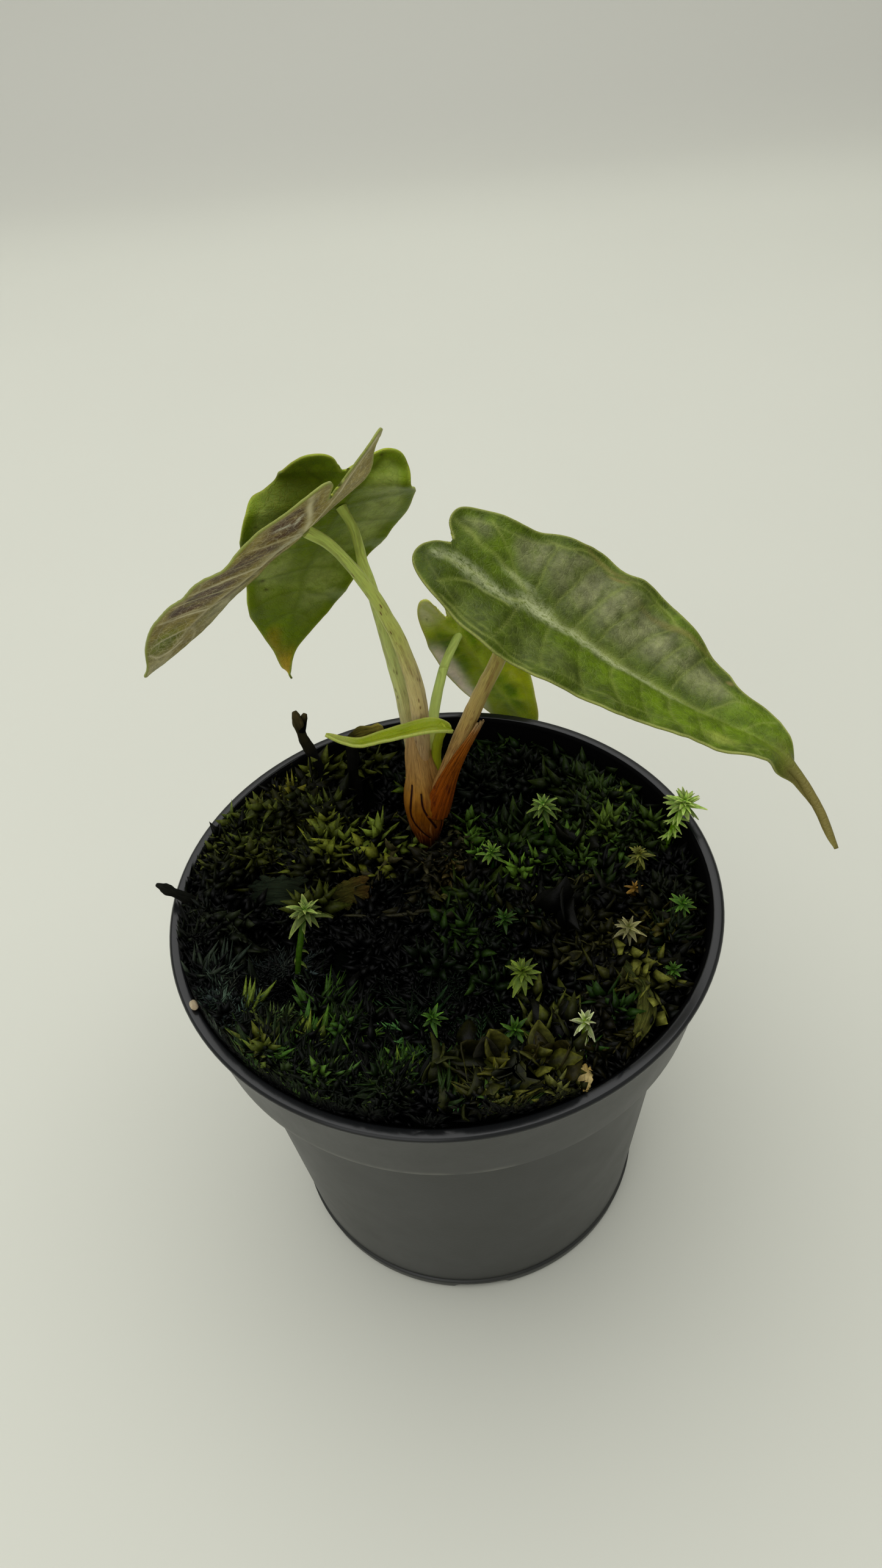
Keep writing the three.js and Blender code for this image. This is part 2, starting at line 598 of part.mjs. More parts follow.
// A flat flake with a ragged outline, lying on the moss at a tilt.
function flake({ x, y, z, length, width, thickness, heading, tilt, bow }, grow) {
  const place = (row, column, face) => {
    const along = row / 4 - 0.5;
    const out = 0.5 - column / 4;
    const ragged = 1 - 0.25 * Math.abs(Math.sin(5 * along + 7 * out + 1));
    const narrow = 1 - 0.9 * along * along;
    const point = new THREE.Vector3(
      along * (length * ragged + 2 * grow),
      out * narrow * (width + 2 * grow),
      bow * (1 - 4 * along * along) + face * (thickness / 2 + grow),
    );
    point.applyEuler(new THREE.Euler(tilt, 0, heading, 'ZXY'));
    return point.add(vector([x, y, z]));
  };
  return solid(sheet(4, 4, place));
}

const GREY_FLAKE = {
  x: -28, y: 5.2, z: 73.6, length: 10, width: 5.2, thickness: 0.9, heading: -0.1, tilt: 0.35, bow: 0.5,
};
const BROWN_FLAKE = {
  x: -15.6, y: 3.8, z: 73.1, length: 7, width: 4.4, thickness: 0.8, heading: 0.25, tilt: 0.45, bow: 0.4,
};
const FRONT_SCRAP = {
  x: 17.2, y: -37.2, z: 75.9, length: 4.4, width: 2.6, thickness: 0.8, heading: 0.4, tilt: 1.1, bow: 0.4,
};

// A dry leaf that lies curled over the moss at the right
function dryLeafGeometry(grow) {
  const curve = curveThrough([
    [22.5, -15.4, 73.4], [26.2, -18.6, 76.2], [28.4, -24.6, 76.8], [27.0, -29.6, 76.2], [23.0, -33.2, 73.4],
  ]);
  const breadth = (along) => 2 * (1.5 * Math.sin(Math.PI * clamp(along, 0.04, 0.96)) + 0.25 + grow);
  return bent(new THREE.CylinderGeometry(0.5, 0.5, 1, 6, 8), curve, breadth, () => 2 * (0.5 + grow));
}

function seedGeometry(grow) {
  const seed = new THREE.SphereGeometry(1, 7, 4);
  seed.scale(1.5 + grow, 0.95 + grow, 0.85 + grow);
  return seed.rotateZ(2.05).translate(-39.3, -18.9, POT_HEIGHT + GAP + 0.86);
}

const debris = [
  { name: 'twig_over_rim', make: twigOverRim, color: 0x24241d },
  { name: 'forked_dry_stalk', make: forkedStalk, color: 0x4a4528 },
  { name: 'dry_stalk', make: dryStalk, color: 0x4d4520 },
  { name: 'grey_flake', make: (grow) => flake(GREY_FLAKE, grow), color: 0x2c3b32 },
  { name: 'brown_flake', make: (grow) => flake(BROWN_FLAKE, grow), color: 0x4a4a20 },
  { name: 'front_scrap', make: (grow) => flake(FRONT_SCRAP, grow), color: 0xb09a55 },
  { name: 'dry_leaf', make: (grow) => solid(dryLeafGeometry(grow)), color: 0x555f24 },
  { name: 'seed', make: (grow) => solid(seedGeometry(grow)), color: 0xb8a888 },
];

// Strands and tufts of the moss keep clear of everything that stands out of it.
function nearSomething(x, y, margin) {
  const clumpAway = Math.hypot(x - CORM.x, y - CORM.y) < 5 + margin;
  const shootAway = shoots.some(({ head, foot, reach }) => (
    Math.hypot(x - head[0], y - head[1]) < reach + margin || Math.hypot(x - foot[0], y - foot[1]) < 1 + margin
  ));
  return clumpAway || shootAway;
}

function mossStrand() {
  for (;;) {
    const angle = between(0, 2 * Math.PI);
    const distance = Math.sqrt(random()) * 37;
    const middle = [distance * Math.cos(angle), distance * Math.sin(angle)];
    const heading = between(0, Math.PI);
    const turn = between(-0.7, 0.7);
    const half = between(3.2, 6);
    const width = between(1.6, 2.6);
    const rise = between(0.5, 1.1);
    const spot = (share, lift) => {
      const bend = heading + turn * share;
      const x = middle[0] + half * share * Math.cos(bend);
      const y = middle[1] + half * share * Math.sin(bend);
      return [x, y, mossHeight(x, y) + lift];
    };
    const points = [spot(-1, -0.9), spot(-0.4, rise), spot(0.4, rise), spot(1, -0.9)];
    const clear = points.every(([x, y]) => Math.hypot(x, y) < 39.2 && !nearSomething(x, y, 1));
    if (clear) {
      const shape = new THREE.SphereGeometry(0.5, 4, 4);
      return solid(bent(shape, curveThrough(points), () => width * 1.3, () => width * 0.9));
    }
  }
}

function mossTuft() {
  for (;;) {
    const angle = between(0, 2 * Math.PI);
    const distance = Math.sqrt(random()) * 38.5;
    const x = distance * Math.cos(angle);
    const y = distance * Math.sin(angle);
    const heading = between(0, 2 * Math.PI);
    const lean = between(0.6, 2.4);
    const top = between(1.6, 2.8);
    const z = mossHeight(x, y);
    const start = new THREE.Vector3(x, y, z - 1);
    const end = new THREE.Vector3(x + lean * Math.cos(heading), y + lean * Math.sin(heading), z + top);
    if (Math.hypot(end.x, end.y) < 39.5 && !nearSomething(x, y, 1.8)) {
      const spike = new THREE.ConeGeometry(0.5, 1, 4);
      const line = new THREE.LineCurve3(start, end);
      return solid(bent(spike, line, () => 2.2, () => 1.4, new THREE.Vector3(1, 0.2, 0)));
    }
  }
}

function mossBed() {
  const growth = [mossPlug()];
  for (let count = 0; count < STRAND_COUNT; count += 1) growth.push(mossStrand());
  for (let count = 0; count < TUFT_COUNT; count += 1) growth.push(mossTuft());
  const room = [stemBaseRoom()];
  for (const shoot of shoots) room.push(solid(shootStem(shoot, GAP)));
  for (const { make } of debris) room.push(make(GAP));
  const bodies = join(growth).subtract(join(room)).decompose();
  return bodies.reduce((largest, body) => (body.volume() > largest.volume() ? body : largest));
}

// Pot
function potSolid() {
  const ringTop = FOOT_RING_HEIGHT;
  const shell = solid(turned([
    [0, 0],
    [PAD_RADIUS, 0],
    [PAD_RADIUS + 1.4, FLOOR_UNDERSIDE_Z],
    [FOOT_RING_INNER_RADIUS, FLOOR_UNDERSIDE_Z],
    [FOOT_RING_INNER_RADIUS, 0],
    [FOOT_RADIUS, 0],
    [FOOT_RADIUS + FOOT_RING_PROUD, 0.6],
    [wallRadius(ringTop) + FOOT_RING_PROUD, ringTop - 0.3],
    [wallRadius(ringTop), ringTop],
    [WALL_TOP_RADIUS, COLLAR_FOOT_Z],
    [COLLAR_FOOT_RADIUS, COLLAR_FOOT_Z],
    [COLLAR_TOP_RADIUS, POT_HEIGHT - 1.3],
    [RIM_RADIUS, POT_HEIGHT - 0.9],
    [RIM_RADIUS - 0.4, POT_HEIGHT],
    [RIM_RADIUS - LIP_WIDTH, POT_HEIGHT],
    [COLLAR_FOOT_RADIUS - WALL, INNER_STEP_TOP_Z],
    [WALL_TOP_RADIUS - WALL, INNER_STEP_FOOT_Z],
    [wallRadius(FLOOR_Z) - WALL, FLOOR_Z],
    [PAD_RADIUS, FLOOR_Z],
    [PAD_RADIUS - 1.4, WALL],
    [0, WALL],
  ], POT_SIDES));
  const cuts = [];
  for (let hole = 0; hole < DRAIN_HOLES; hole += 1) {
    const angle = ((hole + 0.5) / DRAIN_HOLES) * 2 * Math.PI;
    const drill = new THREE.CylinderGeometry(DRAIN_HOLE_RADIUS, DRAIN_HOLE_RADIUS, 4, 12).rotateX(Math.PI / 2);
    drill.translate(DRAIN_CIRCLE_RADIUS * Math.cos(angle), DRAIN_CIRCLE_RADIUS * Math.sin(angle), FLOOR_Z - 0.6);
    cuts.push(solid(drill));
  }
  for (let gap = 0; gap < FOOT_GAPS; gap += 1) {
    const arch = new THREE.Shape();
    arch.moveTo(-FOOT_GAP_WIDTH / 2, -1);
    arch.lineTo(FOOT_GAP_WIDTH / 2, -1);
    arch.lineTo(FOOT_GAP_WIDTH / 2 - 0.6, 0.6);
    arch.lineTo(FOOT_GAP_WIDTH / 2 - 2.4, FOOT_GAP_HEIGHT);
    arch.lineTo(-FOOT_GAP_WIDTH / 2 + 2.4, FOOT_GAP_HEIGHT);
    arch.lineTo(-FOOT_GAP_WIDTH / 2 + 0.6, 0.6);
    const passage = new THREE.ExtrudeGeometry(arch, { depth: 6, bevelEnabled: false, steps: 1 });
    passage.rotateX(Math.PI / 2).translate(0, -FOOT_RING_INNER_RADIUS + 1.5, 0);
    cuts.push(solid(passage.rotateZ((gap / FOOT_GAPS) * 2 * Math.PI)));
  }
  return shell.subtract(join(cuts));
}

// The model
const potted = new THREE.Group();

function addPiece(name, geometry, color, roughness) {
  const material = new THREE.MeshStandardMaterial({ color, roughness, metalness: 0 });
  const mesh = new THREE.Mesh(geometry, material);
  mesh.name = name;
  potted.add(mesh);
}

addPiece('pot', geometryOf(potSolid()), 0x1c1e20, 0.45);
addPiece('stem_base', geometryOf(stemBase()), 0xa8702f, 0.7);
addPiece('sheath', geometryOf(solid(sheathGeometry())), 0x9a5c2c, 0.75);

const leafColors = { left: 0x7d6a58, back: 0x5f8a24, right: 0x4c6b36, small: 0x93b13f, new: 0xc3d23a };
const stalkColors = { left: 0x9fae62, back: 0xa58f66, right: 0x9c8552, small: 0xa9bd6a, new: 0xb3c227 };
for (const name of Object.keys(leaves)) {
  const rows = name === 'new' ? 12 : BLADE_ROWS;
  const columnsPerHalf = name === 'new' ? 2 : BLADE_HALF_COLUMNS;
  const half = BLADE_THICKNESS / 2;
  const blade = bladeGeometry(leaves[name], rows, columnsPerHalf, half, half);
  addPiece(`leaf_${name}`, geometryOf(solid(blade)), leafColors[name], 0.5);
  addPiece(`stalk_${name}`, geometryOf(stalkUnderBlade(name)), stalkColors[name], 0.5);
}

shoots.forEach((shoot, number) => {
  const label = String(number + 1).padStart(2, '0');
  addPiece(`moss_shoot_${label}`, geometryOf(shootSolid(shoot)), shoot.color, 0.6);
});
for (const { name, make, color } of debris) {
  addPiece(name, geometryOf(make(0)), color, 0.8);
}
addPiece('moss_bed', geometryOf(mossBed()), 0x2c3b1c, 0.85);

export default potted;
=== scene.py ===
"""The looks of a potted arrow-leaved aroid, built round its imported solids.

Lengths in the tables below are millimetres in the frame of the solids, with +Z up.
"""

import sys

import json
import logging
import math
from collections.abc import Iterator, Sequence
from contextlib import contextmanager
from dataclasses import dataclass, field
from enum import Enum

import bpy
import numpy as np
from mathutils import Matrix, Vector

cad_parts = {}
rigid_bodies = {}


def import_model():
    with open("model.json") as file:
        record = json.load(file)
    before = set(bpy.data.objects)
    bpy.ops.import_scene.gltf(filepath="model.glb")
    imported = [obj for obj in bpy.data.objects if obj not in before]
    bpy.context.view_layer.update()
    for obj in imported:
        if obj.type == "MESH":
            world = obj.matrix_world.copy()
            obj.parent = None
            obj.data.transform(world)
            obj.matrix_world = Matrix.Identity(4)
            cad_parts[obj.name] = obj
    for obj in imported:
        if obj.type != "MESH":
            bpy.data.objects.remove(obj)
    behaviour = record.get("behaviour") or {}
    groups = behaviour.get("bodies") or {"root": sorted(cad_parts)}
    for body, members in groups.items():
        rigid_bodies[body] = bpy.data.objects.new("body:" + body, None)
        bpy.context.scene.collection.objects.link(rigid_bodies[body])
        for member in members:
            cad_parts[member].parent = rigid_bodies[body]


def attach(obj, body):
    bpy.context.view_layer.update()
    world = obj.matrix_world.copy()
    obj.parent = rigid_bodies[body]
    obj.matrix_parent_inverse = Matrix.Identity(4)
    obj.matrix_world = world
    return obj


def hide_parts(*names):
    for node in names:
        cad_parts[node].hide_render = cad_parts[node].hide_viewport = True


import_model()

MM = 0.001
BODY = "root"
LOG = logging.getLogger("potted_aroid")

Array = np.ndarray
Piece = bpy.types.Object
Material = bpy.types.Material
Socket = bpy.types.NodeSocket
Pair = tuple[float, float]
Point = tuple[float, float, float]
Stops = tuple[tuple[float, str], ...]


# Numbers and curves


def unit(vectors: Array) -> Array:
    """Vectors at length one."""
    return vectors / np.maximum(np.linalg.norm(vectors, axis=-1, keepdims=True), 1e-12)


def soft_step(low: float, high: float, values: Array) -> Array:
    """A smooth rise from 0 at low to 1 at high."""
    share = np.clip((values - low) / (high - low), 0, 1)
    return share * share * (3 - 2 * share)


def hex_colour(code: str) -> tuple[float, float, float, float]:
    """A daylight colour such as "5a6b20" as the linear values that a shader takes.

    Args:
        code: red, green and blue, two hexadecimal digits each.

    Returns:
        Linear red, green and blue, and a full alpha.
    """
    parts = [int(code[start : start + 2], 16) / 255 for start in (0, 2, 4)]
    linear = [part / 12.92 if part < 0.04045 else ((part + 0.055) / 1.055) ** 2.4 for part in parts]
    return (linear[0], linear[1], linear[2], 1.0)


def rgb(code: str) -> Array:
    """A daylight colour as linear red, green and blue."""
    return np.array(hex_colour(code)[:3])


class Track:
    """A smooth line through a few points, read by the distance along it."""

    STEPS_A_SPAN = 50

    def __init__(self, points: Sequence[Sequence[float]], held: bool = False, divisions: int = 0) -> None:
        """Takes the points and measures the line.

        Args:
            points: the points that the line passes through.
            held: whether the line stays level at its ends instead of running on.
            divisions: how many short steps measure it, if not the usual number for each span.
        """
        self.points = np.asarray(points, float)
        first, second = self.points[0], self.points[1]
        last, before = self.points[-1], self.points[-2]
        ends = (first, last) if held else (2 * first - second, 2 * last - before)
        self.padded = np.vstack([ends[0], self.points, ends[1]])
        self.shares = np.linspace(0, 1, (divisions or self.STEPS_A_SPAN * (len(self.points) - 1)) + 1)
        steps = np.linalg.norm(np.diff(self._at_share(self.shares), axis=0), axis=1)
        self.lengths = np.concatenate([[0.0], np.cumsum(steps)])
        self.length = float(self.lengths[-1])

    def _at_share(self, share: Array) -> Array:
        """The line at a share of its spans.

        Args:
            share: the share, from 0 to 1.

        Returns:
            The points there.
        """
        spans = len(self.points) - 1
        place = np.clip(share, 0, 1) * spans
        span = np.minimum(place.astype(int), spans - 1)
        w = (place - span)[..., None]
        p0, p1, p2, p3 = (self.padded[span + step] for step in range(4))
        leave, arrive = 0.5 * (p2 - p0), 0.5 * (p3 - p1)
        start, end = 2 * w**3 - 3 * w**2 + 1, 3 * w**2 - 2 * w**3
        return start * p1 + (w**3 - 2 * w**2 + w) * leave + end * p2 + (w**3 - w**2) * arrive

    def at(self, distance: Array) -> Array:
        """The point at a distance along the line."""
        return self._at_share(np.interp(distance, self.lengths, self.shares))

    def evenly(self, count: int) -> Array:
        """A number of points spread evenly over the line."""
        return self.at(np.linspace(0, self.length, count))

    def tangent(self, distance: Array) -> Array:
        """The direction of the line.

        Args:
            distance: how far along the line.

        Returns:
            A vector of length one for each distance.
        """
        share = np.interp(distance, self.lengths, self.shares)
        ahead, behind = np.clip(share + 1e-4, 0, 1), np.clip(share - 1e-4, 0, 1)
        return unit(self._at_share(ahead) - self._at_share(behind))


class Grain:
    """Smooth seeded noise, from about -1 to 1, over points in space."""

    CELLS = 32

    def __init__(self, seed: int) -> None:
        """Draws the table that the noise runs through."""
        self.table = np.random.default_rng(seed).uniform(-1, 1, (self.CELLS,) * 3)

    def at(self, points: Array, size: float) -> Array:
        """The noise at some points.

        Args:
            points: an array of points, with two or three numbers each.
            size: the width of one bump, in the points' unit.

        Returns:
            One value for each point.
        """
        scaled = points / size
        if scaled.shape[-1] == 2:
            scaled = np.concatenate([scaled, np.full(scaled.shape[:-1] + (1,), 0.37)], axis=-1)
        cell = np.floor(scaled).astype(int)
        share = scaled - cell
        share = share * share * (3 - 2 * share)
        total = np.zeros(scaled.shape[:-1])
        for corner in range(8):
            step = np.array([corner & 1, corner >> 1 & 1, corner >> 2 & 1])
            weight = np.prod(np.where(step == 1, share, 1 - share), axis=-1)
            x, y, z = np.moveaxis((cell + step) % self.CELLS, -1, 0)
            total += weight * self.table[x, y, z]
        return total

    def layered(self, points: Array, size: float, layers: int = 3) -> Array:
        """Noise with finer and fainter layers added to it."""
        return sum(self.at(points + 7.3 * layer, size / 2**layer) / 1.8**layer for layer in range(layers))


def near_line(points: Array, line: Array) -> Array:
    """How far each point is from a line of short straight steps.

    Args:
        points: the points, one row each.
        line: the line's points in order.

    Returns:
        The shortest distance for each point.
    """
    best = np.full(len(points), 1e9)
    for start, end in zip(line[:-1], line[1:]):
        step = end - start
        share = np.clip(((points - start) @ step) / max(float(step @ step), 1e-12), 0, 1)
        best = np.minimum(best, np.linalg.norm(points - start - share[:, None] * step, axis=1))
    return best


# Meshes


def deselect() -> None:
    """Clears the selection, because operators act on all that is selected."""
    bpy.ops.object.select_all(action="DESELECT")


def activate(piece: Piece) -> None:
    """Makes a piece the only one selected.

    Args:
        piece: the piece.
    """
    deselect()
    piece.select_set(True)
    bpy.context.view_layer.objects.active = piece


@contextmanager
def editing(piece: Piece) -> Iterator[None]:
    """Edit mode on one piece with all of it selected, and object mode again after it.

    Args:
        piece: the piece to edit.

    Returns:
        Nothing to keep, only the mode while it lasts.
    """
    activate(piece)
    bpy.ops.object.mode_set(mode="EDIT")
    bpy.ops.mesh.select_all(action="SELECT")
    yield
    bpy.ops.object.mode_set(mode="OBJECT")


def points_of(piece: Piece) -> Array:
    """A piece's points.

    Args:
        piece: the piece to read.

    Returns:
        The points in millimetres, one row each.
    """
    flat = np.zeros(len(piece.data.vertices) * 3)
    piece.data.vertices.foreach_get("co", flat)
    return flat.reshape(-1, 3) / MM


def set_points(piece: Piece, points: Array) -> None:
    """Puts a piece's points where they are given, in millimetres."""
    piece.data.vertices.foreach_set("co", (np.asarray(points) * MM).astype(np.float32).ravel())
    piece.data.update()


def put_colour(piece: Piece, name: str, values: Array) -> None:
    """Stores four numbers for each point under a name that the materials read."""
    layer = piece.data.attributes.new(name, "FLOAT_COLOR", "POINT")
    layer.data.foreach_set("color", np.clip(values, 0, 1).astype(np.float32).ravel())


def put_share(piece: Piece, name: str, values: Array) -> None:
    """Stores one number for each point as a grey."""
    put_colour(piece, name, np.stack([values, values, values, np.ones_like(values)], axis=1))


class Grid:
    """A grid primitive, laid out by the shares of its points across and along, each from 0 to 1."""

    def __init__(self, name: str, columns: int, rows: int) -> None:
        """Adds the primitive.

        Args:
            name: the piece's name.
            columns: how many faces lie across.
            rows: how many faces lie along.
        """
        deselect()
        bpy.ops.mesh.primitive_grid_add(x_subdivisions=columns, y_subdivisions=rows, size=1)
        self.piece = bpy.context.object
        self.piece.name = name
        share = np.clip(points_of(self.piece)[:, :2] * MM + 0.5, 0, 1)
        self.across, self.along = share[:, 0], share[:, 1]

    def stretched(self, width: float, length: float) -> Array:
        """A flat pattern of a size in millimetres, in centimetres."""
        return np.stack([self.across * width, self.along * length], axis=1) / 10

    def laid(self, points: Array, flat: Array) -> Piece:
        """Lays the grid out.

        Args:
            points: where each of its points goes.
            flat: where each lies in the flat pattern.

        Returns:
            The finished piece.
        """
        mesh = self.piece.data
        loops = np.zeros(len(mesh.loops), int)
        mesh.loops.foreach_get("vertex_index", loops)
        mesh.uv_layers[0].data.foreach_set("uv", flat[loops].astype(np.float32).ravel())
        set_points(self.piece, points)
        return self.piece


def close_up(piece: Piece, merge: float = 0.002) -> None:
    """Welds a piece's seam, fills its open ends and turns its faces outward.

    Args:
        piece: the piece to close.
        merge: points nearer than this many millimetres become one.
    """
    with editing(piece):
        bpy.ops.mesh.remove_doubles(threshold=merge * MM)
        bpy.ops.mesh.select_all(action="DESELECT")
        bpy.ops.mesh.select_mode(type="EDGE")
        bpy.ops.mesh.select_non_manifold(extend=False)
        bpy.ops.mesh.fill_holes(sides=0)
        bpy.ops.mesh.select_mode(type="VERT")
        bpy.ops.mesh.select_all(action="SELECT")
        bpy.ops.mesh.normals_make_consistent(inside=False)


def apply_modifier(piece: Piece, kind: str, **settings: object) -> None:
    """Adds one modifier and applies it at once.

    Args:
        piece: the piece to change.
        kind: the modifier's type.
        settings: its own options.
    """
    activate(piece)
    modifier = piece.modifiers.new(kind.title(), kind)
    for name, value in settings.items():
        setattr(modifier, name, value)
    bpy.ops.object.modifier_apply(modifier=modifier.name)


def thicken(piece: Piece, thickness: float, **settings: object) -> None:
    """Gives a sheet its thickness in millimetres, half to each side."""
    apply_modifier(piece, "SOLIDIFY", thickness=thickness * MM, offset=0.0, **settings)


def smooth(piece: Piece, angle: float = 180.0) -> None:
    """Shades a piece smooth.

    Args:
        piece: the piece to shade.
        angle: creases sharper than this many degrees are kept.
    """
    activate(piece)
    if angle >= 180:
        bpy.ops.object.shade_smooth()
    else:
        bpy.ops.object.shade_smooth_by_angle(angle=math.radians(angle))


def joined(name: str, pieces: Sequence[Piece]) -> Piece:
    """Joins modelled pieces.

    Args:
        name: the name of the whole.
        pieces: one or more pieces.

    Returns:
        The first of them, with the others in its mesh.
    """
    activate(pieces[0])
    for piece in pieces[1:]:
        piece.select_set(True)
    if len(pieces) > 1:
        bpy.ops.object.join()
    pieces[0].name = name
    return pieces[0]


def spun(name: str, section: Sequence[Pair], steps: int, rounded: Sequence[int] = ()) -> Piece:
    """A closed body turned round the Z axis.

    Args:
        name: the piece's name.
        section: its outline as radius and height, from the axis back to the axis.
        steps: how many faces go round it.
        rounded: the numbers of the corners that are rounded.

    Returns:
        The body, with its faces outward.
    """
    deselect()
    bpy.ops.mesh.primitive_plane_add(size=MM, location=(0, 0, 0))
    piece = bpy.context.object
    piece.name = name
    with editing(piece):
        bpy.ops.mesh.select_mode(type="VERT")
        bpy.ops.mesh.select_all(action="SELECT")
        bpy.ops.mesh.merge(type="CENTER")
        bpy.ops.transform.translate(value=(0, 0, section[0][1] * MM))
        for (radius, height), (last_radius, last_height) in zip(section[1:], section[:-1]):
            move = ((radius - last_radius) * MM, 0.0, (height - last_height) * MM)
            bpy.ops.mesh.extrude_region_move(TRANSFORM_OT_translate={"value": move})
        bpy.ops.mesh.select_all(action="DESELECT")
    for vertex in piece.data.vertices:
        spot = (vertex.co.x / MM, vertex.co.z / MM)
        vertex.select = any(math.dist(spot, section[number]) < 0.01 for number in rounded)
    bpy.ops.object.mode_set(mode="EDIT")
    if rounded:
        bpy.ops.mesh.bevel(affect="VERTICES", offset=0.16 * MM, segments=2)
    bpy.ops.mesh.select_all(action="SELECT")
    bpy.ops.mesh.spin(steps=steps, angle=2 * math.pi, center=(0, 0, 0), axis=(0, 0, 1))
    bpy.ops.mesh.select_all(action="SELECT")
    bpy.ops.mesh.remove_doubles(threshold=0.01 * MM)
    bpy.ops.mesh.normals_make_consistent(inside=False)
    bpy.ops.object.mode_set(mode="OBJECT")
    return piece


def settle(piece: Piece, slot: str, nodes: Sequence[str], materials: Sequence[Material]) -> None:
    """Gives a finished piece its materials, its body and the solids that it stands for.

    Args:
        piece: the finished piece.
        slot: the record's slot for its finish.
        nodes: the solids that it replaces.
        materials: its materials in the order of its faces' numbers.
    """
    for number, material in enumerate(materials):
        if number < len(piece.data.materials):
            piece.data.materials[number] = material
        else:
            piece.data.materials.append(material)
    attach(piece, BODY)
    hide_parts(*nodes)
    LOG.info("%s: %d faces, slot %s", piece.name, len(piece.data.polygons), slot)


@dataclass
class Form:
    """A small shape kept as triangles, so that many copies make one piece.

    The shade is one number for each point, read as how far it is towards the tip.
    """

    points: Array
    faces: Array
    shade: Array

    @classmethod
    def of(cls, piece: Piece, shade: Array) -> "Form":
        """Takes the form of a modelled piece and removes the piece.

        Args:
            piece: the piece.
            shade: the shade of each of its points.

        Returns:
            The form.
        """
        apply_modifier(piece, "TRIANGULATE")
        corners = np.zeros(len(piece.data.loops), int)
        piece.data.loops.foreach_get("vertex_index", corners)
        form = cls(points_of(piece), corners.reshape(-1, 3), shade)
        bpy.data.meshes.remove(piece.data)
        return form

    @classmethod
    def joined(cls, forms: Sequence["Form"]) -> "Form":
        """Joins several forms.

        Args:
            forms: the forms.

        Returns:
            One form that holds them all.
        """
        starts = np.cumsum([0] + [len(form.points) for form in forms[:-1]])
        faces = np.vstack([form.faces + start for form, start in zip(forms, starts)])
        points = np.vstack([form.points for form in forms])
        return cls(points, faces, np.concatenate([form.shade for form in forms]))

    def moved(self, turn: Array, place: Sequence[float], size: float = 1.0) -> "Form":
        """The form turned by a 3 by 3 matrix, scaled and put in a place."""
        return Form(self.points @ (turn.T * size) + np.asarray(place), self.faces, self.shade)


class Heap:
    """Many copies of small forms gathered into one piece, with a colour for each point."""

    def __init__(self) -> None:
        """Starts empty."""
        self.points: list[Array] = []
        self.faces: list[Array] = []
        self.colours: list[Array] = []
        self.count = 0

    def add(self, form: Form, base: Array, tip: Array) -> None:
        """Adds one form.

        Args:
            form: the form, already in its place.
            base: its colour where its shade is 0, as linear red, green and blue.
            tip: its colour where its shade is 1.
        """
        shade = form.shade[:, None]
        self.points.append(form.points)
        self.faces.append(form.faces + self.count)
        self.colours.append(base * (1 - shade) + tip * shade)
        self.count += len(form.points)

    def piece(self, name: str) -> Piece:
        """Makes all that was added into one mesh object, with its colours in "tint".

        Args:
            name: the object's name.

        Returns:
            The object.
        """
        points, faces = np.vstack(self.points), np.vstack(self.faces)
        mesh = bpy.data.meshes.new(name)
        mesh.vertices.add(len(points))
        mesh.vertices.foreach_set("co", (points * MM).astype(np.float32).ravel())
        mesh.loops.add(faces.size)
        mesh.loops.foreach_set("vertex_index", faces.astype(np.int32).ravel())
        mesh.polygons.add(len(faces))
        mesh.polygons.foreach_set("loop_start", np.arange(0, faces.size, 3, dtype=np.int32))
        mesh.update(calc_edges=True)
        made = bpy.data.objects.new(name, mesh)
        bpy.context.scene.collection.objects.link(made)
        put_colour(made, "tint", np.pad(np.vstack(self.colours), ((0, 0), (0, 1)), constant_values=1))
        return made


def turn_to(direction: Array, spin: float = 0.0) -> Array:
    """A 3 by 3 turn that points +Z along a direction, after a spin about +Z."""
    aim = Vector(direction).to_track_quat("Z", "Y").to_matrix()
    return np.array(aim @ Matrix.Rotation(spin, 3, "Z"))


def ray(lean: float, angle: float) -> Array:
    """The direction that leans away from +Z by one angle and points round it by another."""
    return np.array([math.sin(lean) * math.cos(angle), math.sin(lean) * math.sin(angle), math.cos(lean)])


# Materials


